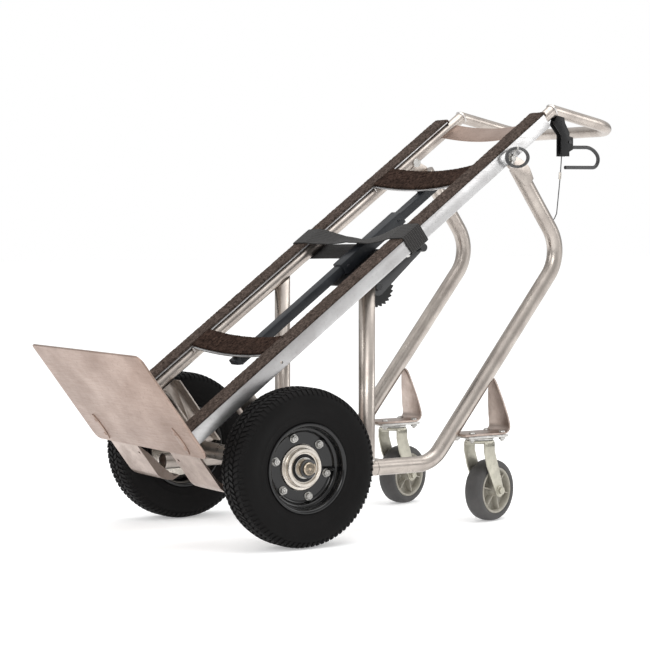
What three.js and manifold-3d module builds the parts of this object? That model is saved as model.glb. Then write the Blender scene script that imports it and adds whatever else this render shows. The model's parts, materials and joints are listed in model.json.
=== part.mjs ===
// Convertible hand truck: two carpeted rails with a toe plate, two large wheels on an
// axle and a hinged rear frame that carries two swivel casters.
// Millimetres. +Z up, the toe plate points to -Y and the handle to +Y.
import * as THREE from "three";
import { mergeVertices } from "three/addons/utils/BufferGeometryUtils.js";
import Module from "manifold-3d";

const wasm = await Module();
wasm.setup();

// ---- driving dimensions ----
const GAP = 0.3;
const SIDES = [
  ["r", 1],
  ["l", -1],
];

const RAIL_TILT = THREE.MathUtils.degToRad(36.53);
const HEEL_Y = -226.3;
const HEEL_Z = 222.8;
const RAIL_OUTER = 196.4;
const RAIL_INNER = 152;
const RAIL_LENGTH = 1072;
const SHEET = 3;
const CARPET = 5;
const WEB_DEPTH = 35.5;
const RAIL_TUBE_R = 12.7;
const RAIL_TUBE_X = 164;
const RAIL_TUBE_V = -24.2;
const RAIL_TUBE_END = 1122;

const TOE_THICK = 4.8;
const TOE_HALF = 238;
const TOE_TIP = 194.5;
const TOE_HEEL = -53;

const PIPE_R = 16.7;
const PIPE_BORE = 13.3;
const PIPE_X = 165;
const BOTTOM_Z = 132;
const POST_Y = 212;
const BOTTOM_FRONT = -80;
const BOTTOM_REAR = 231;

const WHEEL_R = 156;
const WHEEL_X = 246;
const TYRE_HALF = 44;
const RIM_SEAT = 80;
const RIM_FLANGE = 87.5;
const HUB_R = 44.5;
const LUG_CIRCLE = 59;
const LUG_COUNT = 6;
const LUG_PHASE = THREE.MathUtils.degToRad(46);
const AXLE_R = 12.7;
const AXLE_HALF = 289;

const PIVOT_U = 948;
const PIVOT_V = -30;
const PIVOT_PIN_R = 6;

const CASTER_X = 162;
const CASTER_Y = 498;
const CASTER_R = 65;
const CASTER_TRAIL = 35;
const CASTER_TURN = THREE.MathUtils.degToRad(16);
const CASTER_PLATE_TOP = 184.7;

const HANDLE_REAR = 865;
const HANDLE_Z = 831;
const HANDLE_R = 12.7;

const COLUMN_HALF = 12.7;
const COLUMN_FRONT = -28.5;
const COLUMN_BACK = -47.5;
const SLEEVE_LOW = 568;
const SLEEVE_HIGH = 755;

const SPOOL_U = 561;
const SPOOL_V = -74.5;
const RATCHET_TEETH = 24;
const RATCHET_TIP = 42;
const RATCHET_ROOT = 37;

const LEVER_Y = 728;
const LEVER_Z = 802;

// ---- materials ----
const paint = (color, roughness, metalness) =>
  new THREE.MeshStandardMaterial({ color, roughness, metalness });
const aluminium = paint(0xc9bfb6, 0.38, 0.9);
const plate = paint(0xbba596, 0.5, 0.8);
const carpet = paint(0x57493f, 0.98, 0);
const black = paint(0x141518, 0.55, 0.2);
const webbing = paint(0x2f2d2c, 0.9, 0);
const zinc = paint(0xb4b2a0, 0.4, 0.85);
const steel = paint(0xa9a49a, 0.3, 0.95);
const rubber = paint(0x171615, 0.85, 0);
const greyRubber = paint(0x3a3838, 0.8, 0);
const core = paint(0x8f8f7c, 0.6, 0.1);
const gloss = paint(0x0c0c0d, 0.2, 0.3);
const coated = paint(0x0f0f10, 0.45, 0);

// ---- helpers ----
function toSolid(geometry) {
  const bare = geometry.clone();
  bare.deleteAttribute("normal");
  bare.deleteAttribute("uv");
  const merged = mergeVertices(bare, 1e-3);
  const triVerts = new Uint32Array(merged.index.array);
  const vertProperties = new Float32Array(merged.attributes.position.array);
  let solid = new wasm.Manifold(new wasm.Mesh({ numProp: 3, vertProperties, triVerts }));
  if (solid.volume() < 0) {
    for (let i = 0; i < triVerts.length; i += 3) {
      const first = triVerts[i];
      triVerts[i] = triVerts[i + 1];
      triVerts[i + 1] = first;
    }
    solid = new wasm.Manifold(new wasm.Mesh({ numProp: 3, vertProperties, triVerts }));
  }
  return solid;
}

function toGeometry(solid) {
  const mesh = solid.getMesh();
  const geometry = new THREE.BufferGeometry();
  geometry.setAttribute("position", new THREE.BufferAttribute(new Float32Array(mesh.vertProperties), 3));
  geometry.setIndex(new THREE.BufferAttribute(new Uint32Array(mesh.triVerts), 1));
  geometry.computeVertexNormals();
  return geometry;
}

function join(...shapes) {
  return toGeometry(shapes.map(toSolid).reduce((a, b) => a.add(b)));
}

function cut(shape, ...tools) {
  return toGeometry(tools.map(toSolid).reduce((a, b) => a.subtract(b), toSolid(shape)));
}

function common(a, b) {
  return toGeometry(toSolid(a).intersect(toSolid(b)));
}

function box(x0, x1, y0, y1, z0, z1) {
  const geometry = new THREE.BoxGeometry(x1 - x0, y1 - y0, z1 - z0);
  return geometry.translate((x0 + x1) / 2, (y0 + y1) / 2, (z0 + z1) / 2);
}

// Round bar across the machine, from x0 to x1 about the line (y, z).
function barX(radius, x0, x1, y, z, segments = 20) {
  const geometry = new THREE.CylinderGeometry(radius, radius, x1 - x0, segments);
  return geometry.rotateZ(-Math.PI / 2).translate((x0 + x1) / 2, y, z);
}

function barY(radius, y0, y1, x, z, segments = 20) {
  const geometry = new THREE.CylinderGeometry(radius, radius, y1 - y0, segments);
  return geometry.translate(x, (y0 + y1) / 2, z);
}

function barZ(radius, z0, z1, x, y, segments = 20) {
  const geometry = new THREE.CylinderGeometry(radius, radius, z1 - z0, segments);
  return geometry.rotateX(Math.PI / 2).translate(x, y, (z0 + z1) / 2);
}

// Flat plate with an outline in (y, z), from x0 to x1.
function plateX(outline, x0, x1) {
  const shape = new THREE.Shape(outline.map(([y, z]) => new THREE.Vector2(y, z)));
  const geometry = new THREE.ExtrudeGeometry(shape, { depth: x1 - x0, bevelEnabled: false });
  const turn = new THREE.Matrix4().set(0, 0, 1, x0, 1, 0, 0, 0, 0, 1, 0, 0, 0, 0, 0, 1);
  return geometry.applyMatrix4(turn);
}

// Flat plate with an outline in (x, z), from y0 to y1.
function plateY(outline, y0, y1) {
  const shape = new THREE.Shape(outline.map(([x, z]) => new THREE.Vector2(x, z)));
  const geometry = new THREE.ExtrudeGeometry(shape, { depth: y1 - y0, bevelEnabled: false });
  return geometry.rotateX(Math.PI / 2).translate(0, y1, 0);
}

// Solid of revolution about X: profile of [radius, x].
function turnX(profile, segments, x = 0, y = 0, z = 0) {
  const points = profile.map(([r, h]) => new THREE.Vector2(r, h));
  if (profile[0][0] > 0) points.push(points[0].clone());
  const geometry = new THREE.LatheGeometry(points, segments);
  geometry.rotateZ(-Math.PI / 2);
  return toGeometry(toSolid(geometry)).translate(x, y, z);
}

// Corner points rounded with arcs, as a list of points.
function rounded(corners, radius, arcSteps = 5) {
  const points = [corners[0].clone()];
  for (let i = 1; i < corners.length - 1; i++) {
    const back = corners[i - 1].clone().sub(corners[i]).normalize();
    const ahead = corners[i + 1].clone().sub(corners[i]).normalize();
    const half = back.angleTo(ahead) / 2;
    const r = Array.isArray(radius) ? radius[i - 1] : radius;
    const reach = r / Math.tan(half);
    const start = corners[i].clone().addScaledVector(back, reach);
    const middle = back.clone().add(ahead).normalize();
    const centre = corners[i].clone().addScaledVector(middle, r / Math.sin(half));
    const axis = new THREE.Vector3().crossVectors(back, ahead).normalize();
    const sweep = -(Math.PI - 2 * half);
    for (let k = 0; k <= arcSteps; k++) {
      const arm = start.clone().sub(centre).applyAxisAngle(axis, (sweep * k) / arcSteps);
      points.push(centre.clone().add(arm));
    }
  }
  points.push(corners[corners.length - 1].clone());
  return points;
}

// A path through given points, stepped at exactly those points.
class PointPath extends THREE.Curve {
  constructor(points) {
    super();
    this.points = points;
  }
  getPoint(t, target = new THREE.Vector3()) {
    const place = t * (this.points.length - 1);
    const i = Math.min(Math.floor(place), this.points.length - 2);
    return target.lerpVectors(this.points[i], this.points[i + 1], place - i);
  }
  getUtoTmapping(u) {
    return u;
  }
}

function pipe(points, radius, segments = 16) {
  const shape = new THREE.Shape();
  for (let i = 0; i < segments; i++) {
    const angle = (i / segments) * Math.PI * 2;
    const x = radius * Math.cos(angle);
    const y = radius * Math.sin(angle);
    if (i === 0) shape.moveTo(x, y);
    else shape.lineTo(x, y);
  }
  shape.closePath();
  const path = new PointPath(points);
  return new THREE.ExtrudeGeometry(shape, {
    steps: points.length - 1,
    extrudePath: path,
    bevelEnabled: false,
    curveSegments: 1,
  });
}

// Thin strip that follows a line of [a, b] points, as a closed outline.
function stripOutline(line, thickness) {
  const left = [];
  const right = [];
  line.forEach(([a, b], i) => {
    const before = line[Math.max(i - 1, 0)];
    const after = line[Math.min(i + 1, line.length - 1)];
    const da = after[0] - before[0];
    const db = after[1] - before[1];
    const size = Math.hypot(da, db);
    const na = (-db / size) * (thickness / 2);
    const nb = (da / size) * (thickness / 2);
    left.push([a + na, b + nb]);
    right.unshift([a - na, b - nb]);
  });
  return [...left, ...right];
}

const at = (x, y, z) => new THREE.Vector3(x, y, z);

const truck = new THREE.Group();
const railFrame = new THREE.Group();
railFrame.position.set(0, HEEL_Y, HEEL_Z);
railFrame.rotation.x = RAIL_TILT;
truck.add(railFrame);
railFrame.updateMatrix();

// A place given across, along and out from the rails, as a place in the truck.
function fromRail(x, u, v) {
  return at(x, u, v).applyMatrix4(railFrame.matrix);
}

function add(group, name, geometry, material) {
  const mesh = new THREE.Mesh(geometry, material);
  mesh.name = name;
  group.add(mesh);
  return mesh;
}

// ---- toe plate with its two riveted wear pads ----
function wearPad(x) {
  const outline = [];
  for (let i = 0; i < 16; i++) {
    const angle = (i / 16) * Math.PI * 2;
    const bulge = Math.sign(Math.cos(angle)) * Math.abs(Math.cos(angle)) ** 1.4;
    outline.push([x + 10 * bulge, -14 + 33 * Math.sin(angle)]);
  }
  return plateY(outline, -1.6, 0.6);
}

const toeOutline = [
  [-TOE_HALF, TOE_TIP - 4],
  [-TOE_HALF + 4, TOE_TIP],
  [TOE_HALF - 14, TOE_TIP],
  [TOE_HALF, TOE_TIP - 12],
  [TOE_HALF, TOE_HEEL + 16],
  [TOE_HALF - 5, TOE_HEEL + 4],
  [TOE_HALF - 16, TOE_HEEL],
  [-TOE_HALF + 16, TOE_HEEL],
  [-TOE_HALF + 5, TOE_HEEL + 4],
  [-TOE_HALF, TOE_HEEL + 16],
];
const rivetSinks = [];
for (const x of [-172, 172]) {
  for (const v of [-32, 4]) rivetSinks.push(barY(4, -3, -0.9, x, v, 10));
}
const toePlate = join(plateY(toeOutline, 0, TOE_THICK), wearPad(172), wearPad(-172));
const heelRebate = box(-300, 300, TOE_THICK - 0.4, TOE_THICK + 1, TOE_HEEL - 10, 0.6);
add(railFrame, "toe_plate", cut(toePlate, heelRebate, ...rivetSinks), plate);

// ---- rails ----
function railAngle() {
  const inner = RAIL_OUTER - SHEET;
  const outline = [
    [RAIL_INNER, -CARPET - GAP],
    [RAIL_OUTER, -CARPET - GAP],
    [RAIL_OUTER, -WEB_DEPTH],
    [inner, -WEB_DEPTH],
    [inner, -CARPET - GAP - SHEET],
    [RAIL_INNER, -CARPET - GAP - SHEET],
  ];
  return cut(
    plateY(outline, TOE_THICK + GAP, RAIL_LENGTH),
    barX(3.2, inner - 2, RAIL_OUTER + 2, 255, -23, 12),
    barX(PIVOT_PIN_R + 0.4, inner - 2, RAIL_OUTER + 2, PIVOT_U, PIVOT_V, 16),
  );
}

function railTube() {
  const tube = barY(RAIL_TUBE_R, TOE_THICK + GAP, RAIL_TUBE_END, RAIL_TUBE_X, RAIL_TUBE_V, 16);
  const bore = barY(RAIL_TUBE_R - 2.5, -1, RAIL_TUBE_END - 6, RAIL_TUBE_X, RAIL_TUBE_V, 10);
  return cut(tube, bore, barX(PIVOT_PIN_R + 0.4, 145, 185, PIVOT_U, PIVOT_V, 16));
}

function railCarpet() {
  const end = RAIL_LENGTH + GAP;
  const outline = [
    [TOE_THICK + GAP, 0],
    [end + 1, 0],
    [end + 4, -1.6],
    [end + CARPET, -4.5],
    [end + CARPET, -11],
    [end, -11],
    [end, -CARPET],
    [TOE_THICK + GAP, -CARPET],
  ];
  return plateX(outline, RAIL_INNER + GAP, RAIL_OUTER - 0.4);
}

for (const [tag, side] of SIDES) {
  add(railFrame, `rail_angle_${tag}`, toGeometry(toSolid(railAngle().scale(side, 1, 1))), aluminium);
  add(railFrame, `rail_tube_${tag}`, toGeometry(toSolid(railTube().scale(side, 1, 1))), aluminium);
  add(railFrame, `rail_carpet_${tag}`, toGeometry(toSolid(railCarpet().scale(side, 1, 1))), carpet);
}

// ---- bowed cross bars ----
function bowed(halfWidth, low, high, front, thickness, bow) {
  const frontLine = [];
  const backLine = [];
  for (let i = 0; i <= 12; i++) {
    const x = -halfWidth + (i / 12) * 2 * halfWidth;
    const dip = bow * (1 - (x / halfWidth) ** 2);
    frontLine.push([x, front - dip]);
    backLine.unshift([x, front - thickness - dip]);
  }
  return plateY([...frontLine, ...backLine], low, high);
}

const BAR_HALF = RAIL_INNER - GAP;
for (const [name, low, high] of [
  ["lower_bar", 254, 310],
  ["upper_bar", 823, 888],
]) {
  add(railFrame, name, bowed(BAR_HALF, low, high, -6.3, SHEET, 12), aluminium);
  add(railFrame, `${name}_carpet`, bowed(BAR_HALF, low + 4, high, -1, CARPET, 12), carpet);
}
const TOP_BAR_HALF = RAIL_TUBE_X - RAIL_TUBE_R - GAP;
add(railFrame, "top_bar", bowed(TOP_BAR_HALF, 1040, 1088, -25, SHEET, 16), plate);

// ---- handle loop ----
const handleStart = fromRail(RAIL_TUBE_X, 1117, RAIL_TUBE_V);
const handleCorners = [
  handleStart,
  at(RAIL_TUBE_X, HANDLE_REAR, HANDLE_Z),
  at(-RAIL_TUBE_X, HANDLE_REAR, HANDLE_Z),
  at(-handleStart.x, handleStart.y, handleStart.z),
];
const tubeClearance = (side, radius) =>
  barY(radius, 900, 1180, side * RAIL_TUBE_X, RAIL_TUBE_V, 20).applyMatrix4(railFrame.matrix);
const lowTubeClearance = (side) =>
  barY(RAIL_TUBE_R + GAP, 450, 730, side * RAIL_TUBE_X, RAIL_TUBE_V, 20).applyMatrix4(railFrame.matrix);
const handlePath = rounded(handleCorners, 58, 6);
const handleTools = [tubeClearance(1, RAIL_TUBE_R + GAP), tubeClearance(-1, RAIL_TUBE_R + GAP)];
add(truck, "handle_loop", cut(pipe(handlePath, HANDLE_R, 14), ...handleTools), aluminium);

// ---- column between the cross bars, with its sliding sleeve ----
const columnFoot = (low, high) => box(-11, 11, low, high, COLUMN_FRONT - 2, -21.6);
const columnOutline = [
  [250, COLUMN_FRONT],
  [886, COLUMN_FRONT],
  [886, COLUMN_BACK],
  [262, COLUMN_BACK],
  [250, COLUMN_BACK + 8],
];
const column = plateX(columnOutline, -COLUMN_HALF, COLUMN_HALF);
add(railFrame, "column", join(column, columnFoot(262, 302), columnFoot(830, 880)), black);

const sleeveHole = 0.35;
add(
  railFrame,
  "strap_sleeve",
  cut(
    box(-16.8, 16.8, SLEEVE_LOW, SLEEVE_HIGH, COLUMN_BACK - 4, COLUMN_FRONT + 4),
    box(
      -COLUMN_HALF - sleeveHole,
      COLUMN_HALF + sleeveHole,
      SLEEVE_LOW - 5,
      SLEEVE_HIGH + 5,
      COLUMN_BACK - sleeveHole,
      COLUMN_FRONT + sleeveHole,
    ),
  ),
  black,
);
add(
  railFrame,
  "strap_keeper",
  join(box(-148, -112, 858, 882, -34, -26), box(-136, -124, 862, 878, -27, -13.6)),
  black,
);

// ---- ratchet on the sleeve ----
const RATCHET_BACK = COLUMN_BACK - 4 - GAP;
const earOutline = [
  [535, RATCHET_BACK - 3],
  [590, RATCHET_BACK - 3],
  [582, SPOOL_V - 14],
  [570, SPOOL_V - 24],
  [552, SPOOL_V - 24],
  [540, SPOOL_V - 14],
];
const ratchetFrame = join(
  box(-16, 108, 535, 660, RATCHET_BACK - 4, RATCHET_BACK),
  plateX(earOutline, 24, 27.5),
  plateX(earOutline, 104.5, 108),
);
add(
  railFrame,
  "ratchet_frame",
  cut(
    ratchetFrame,
    barX(8.5, 20, 112, SPOOL_U, SPOOL_V, 24),
    box(30, 100, SPOOL_U - 15.5, SPOOL_U + 15.5, RATCHET_BACK - 6, RATCHET_BACK + 2),
  ),
  black,
);

function toothedOutline(teeth, tip, root) {
  const outline = [];
  for (let i = 0; i < teeth; i++) {
    const angle = (i / teeth) * Math.PI * 2;
    const late = ((i + 0.85) / teeth) * Math.PI * 2;
    outline.push([SPOOL_U + root * Math.cos(angle), SPOOL_V + root * Math.sin(angle)]);
    outline.push([SPOOL_U + tip * Math.cos(late), SPOOL_V + tip * Math.sin(late)]);
  }
  return outline;
}
add(
  railFrame,
  "ratchet_spool",
  join(
    barX(8, 18, 110, SPOOL_U, SPOOL_V, 24),
    barX(13, 28.2, 103.8, SPOOL_U, SPOOL_V, 16),
    plateX(toothedOutline(RATCHET_TEETH, RATCHET_TIP, RATCHET_ROOT), 109, 115),
  ),
  black,
);

const leverOutline = [];
for (let i = 0; i <= 8; i++) {
  const angle = Math.PI / 2 + (i / 8) * Math.PI;
  leverOutline.push([SPOOL_U + 18 * Math.cos(angle), SPOOL_V + 18 * Math.sin(angle)]);
}
for (let i = 0; i <= 8; i++) {
  const angle = -Math.PI / 2 + (i / 8) * Math.PI;
  leverOutline.push([692 + 10 * Math.cos(angle), -71 + 10 * Math.sin(angle)]);
}
add(
  railFrame,
  "ratchet_lever",
  join(
    plateX(leverOutline, 116, 120.5),
    barX(9, 116, 138, 692, -71, 16),
    barX(9, 120, 126, SPOOL_U, SPOOL_V, 6),
  ),
  black,
);

// ---- strap round both rails, and its hook ----
const strapLine = [
  [-18, -44],
  [-100, -41.5],
  [-186, -39.8],
  [-194.5, -39.4],
  [-197.8, -37.4],
  [-198.6, -34],
  [-198.6, -1.2],
  [-197.2, 1.4],
  [-193, 2],
  [-150, 1.9],
  [-125, -3],
  [-70, -13],
  [0, -17],
  [70, -13],
  [125, -3],
  [150, 1.9],
  [193, 2],
  [197.2, 1.4],
  [198.6, -1.2],
  [198.6, -34],
  [197.8, -37.4],
  [194.5, -39.4],
  [186, -39.8],
  [153, -40.2],
];
const strap = plateY(stripOutline(strapLine, 2.2), 616, 665);
const strapPlaces = strap.attributes.position;
for (let i = 0; i < strapPlaces.count; i++) {
  const x = strapPlaces.getX(i);
  const lean = strapPlaces.getZ(i) > -38 ? 0.055 * x : 0.055 * Math.sign(x) * 190;
  const back = strapPlaces.getZ(i) < -38 && x < 0 ? (190 + x) * 0.06 : 0;
  strapPlaces.setY(i, strapPlaces.getY(i) + lean + back);
}
add(railFrame, "strap", strap, webbing);
add(
  railFrame,
  "strap_hook",
  cut(
    join(
      box(136, 152.5, 628, 674, -42, -38.4),
      plateX([[640, -40], [662, -40], [660, -58], [651, -64], [642, -58]], 136, 139.4),
    ),
    box(146, 149.5, 632, 670, -45, -36),
  ),
  zinc,
);

// ---- axle, struts and heel brackets ----
add(
  truck,
  "axle_tube",
  cut(
    barX(PIPE_R, -148, 148, 0, WHEEL_R, 24),
    barX(AXLE_R + GAP, -160, 160, 0, WHEEL_R, 24),
  ),
  aluminium,
);
const halfAxle = [
  [AXLE_R, 267.6],
  [17.5, 267.6],
  [17.5, 282.6],
  [18.5, 282.6],
  [18.5, 284.4],
  [AXLE_R, 284.4],
  [AXLE_R, AXLE_HALF - 1.5],
  [AXLE_R - 1.5, AXLE_HALF],
];
const axleProfile = [
  [0, -AXLE_HALF],
  ...halfAxle.map(([r, x]) => [r, -x]).reverse(),
  ...halfAxle,
  [0, AXLE_HALF],
];
add(truck, "axle", turnX(axleProfile, 16, 0, 0, WHEEL_R), steel);

const axleInRail = at(0, 0, WHEEL_R).applyMatrix4(railFrame.matrix.clone().invert());
function axleStrut() {
  const strut = cut(
    box(131, 161, 145, 185, -198, RAIL_TUBE_V - RAIL_TUBE_R - GAP),
    box(128, 158, 148.5, 181.5, -210, -20),
  );
  return cut(strut, barX(PIPE_R + GAP, 120, 170, axleInRail.y, axleInRail.z, 24));
}

function heelBracket() {
  const line = [
    [7.4, -38.5],
    [7.4, -136],
    [10, -145],
    [19, -158],
    [26, -164],
    [42, -167],
  ];
  const rib = [
    [8, -60],
    [8, -140],
    [12, -147],
    [22, -159],
    [34, -164],
    [24, -128],
    [17, -90],
  ];
  return cut(
    join(plateX(stripOutline(line, 4), 70, 190), plateX(rib, 70, 73.5), plateX(rib, 140, 143.5)),
    barY(3.5, 0, 14, 84, -78, 12),
  );
}

for (const [tag, side] of SIDES) {
  const strutShape = toGeometry(toSolid(axleStrut().scale(side, 1, 1)));
  add(railFrame, `axle_strut_${tag}`, strutShape, aluminium);
  const bracketShape = toGeometry(toSolid(heelBracket().scale(side, 1, 1)));
  add(railFrame, `heel_bracket_${tag}`, bracketShape, plate);

  // Bottom member: open at the front, plugged at the rear with a conical dimple.
  const bottomProfile = [
    [PIPE_BORE, BOTTOM_FRONT],
    [PIPE_R, BOTTOM_FRONT],
    [PIPE_R, BOTTOM_REAR],
    [6.6, BOTTOM_REAR],
    [2.5, BOTTOM_REAR - 4.2],
    [0, BOTTOM_REAR - 4.2],
  ];
  const bottom = new THREE.LatheGeometry(
    [...bottomProfile, [0, 200], [PIPE_BORE, 200], [PIPE_BORE, BOTTOM_FRONT]].map(
      ([r, y]) => new THREE.Vector2(r, y),
    ),
    20,
  ).translate(side * PIPE_X, 0, BOTTOM_Z);
  add(
    truck,
    `bottom_tube_${tag}`,
    cut(bottom, barX(AXLE_R + GAP, side * PIPE_X - 30, side * PIPE_X + 30, 0, WHEEL_R, 24)),
    aluminium,
  );

  const postTop = (POST_Y - HEEL_Y) * Math.tan(RAIL_TILT) + HEEL_Z;
  const post = cut(
    barZ(PIPE_R, BOTTOM_Z, postTop, side * PIPE_X, POST_Y, 20),
    barZ(PIPE_BORE, BOTTOM_Z + 40, postTop + 5, side * PIPE_X, POST_Y, 12),
    barY(PIPE_R + GAP, POST_Y - 40, POST_Y + 40, side * PIPE_X, BOTTOM_Z, 24),
    lowTubeClearance(side),
    box(-260, 260, 300, 800, -WEB_DEPTH - GAP, 120).applyMatrix4(railFrame.matrix),
  );
  add(truck, `post_${tag}`, post, aluminium);
}

// ---- big wheels ----
const tyreProfile = [
  [RIM_SEAT + GAP, -31.6],
  [94, -32],
  [120, -43],
  [140, -TYRE_HALF],
  [152, -38],
  [WHEEL_R, -20],
  [WHEEL_R, 20],
  [152, 38],
  [140, TYRE_HALF],
  [120, 43],
  [94, 32],
  [RIM_SEAT + GAP, 31.6],
];
const rimProfile = [
  [76, -35],
  [RIM_FLANGE, -35],
  [RIM_FLANGE, -32],
  [RIM_SEAT, -32],
  [RIM_SEAT, 32],
  [RIM_FLANGE, 32],
  [RIM_FLANGE, 35],
  [76.5, 35],
  [73, 14],
  [68, 9],
  [HUB_R + 1, 9],
  [HUB_R + 1, 5],
  [75, 5],
];
const hubProfile = [
  [13.2, -40],
  [24, -40],
  [24, 0.6],
  [68, 0.6],
  [68, 4.7],
  [HUB_R, 4.7],
  [HUB_R, 11.5],
  [37.5, 12.5],
  [37.5, 25],
  [30, 25],
  [30, 21],
  [13.2, 21],
];
for (const [tag, side] of SIDES) {
  const x = side * WHEEL_X;
  const facing = (profile) => profile.map(([r, h]) => [r, h * side]);
  add(truck, `tyre_${tag}`, turnX(facing(tyreProfile), 28, x, 0, WHEEL_R), rubber);
  const lugHoles = [];
  const lugs = [];
  for (let i = 0; i < LUG_COUNT; i++) {
    const angle = LUG_PHASE + (i / LUG_COUNT) * Math.PI * 2;
    const y = LUG_CIRCLE * Math.cos(angle);
    const z = WHEEL_R + LUG_CIRCLE * Math.sin(angle);
    const span = (from, to) => [Math.min(x + side * from, x + side * to), Math.max(x + side * from, x + side * to)];
    lugHoles.push(barX(5.6, ...span(2, 12), y, z, 8));
    lugs.push(barX(4.6, ...span(3, 19), y, z, 6));
    lugs.push(barX(8, ...span(9.4, 16), y, z, 6));
  }
  add(truck, `rim_${tag}`, cut(turnX(facing(rimProfile), 28, x, 0, WHEEL_R), ...lugHoles), gloss);
  add(truck, `hub_${tag}`, join(turnX(facing(hubProfile), 16, x, 0, WHEEL_R), ...lugs), steel);
}

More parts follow.
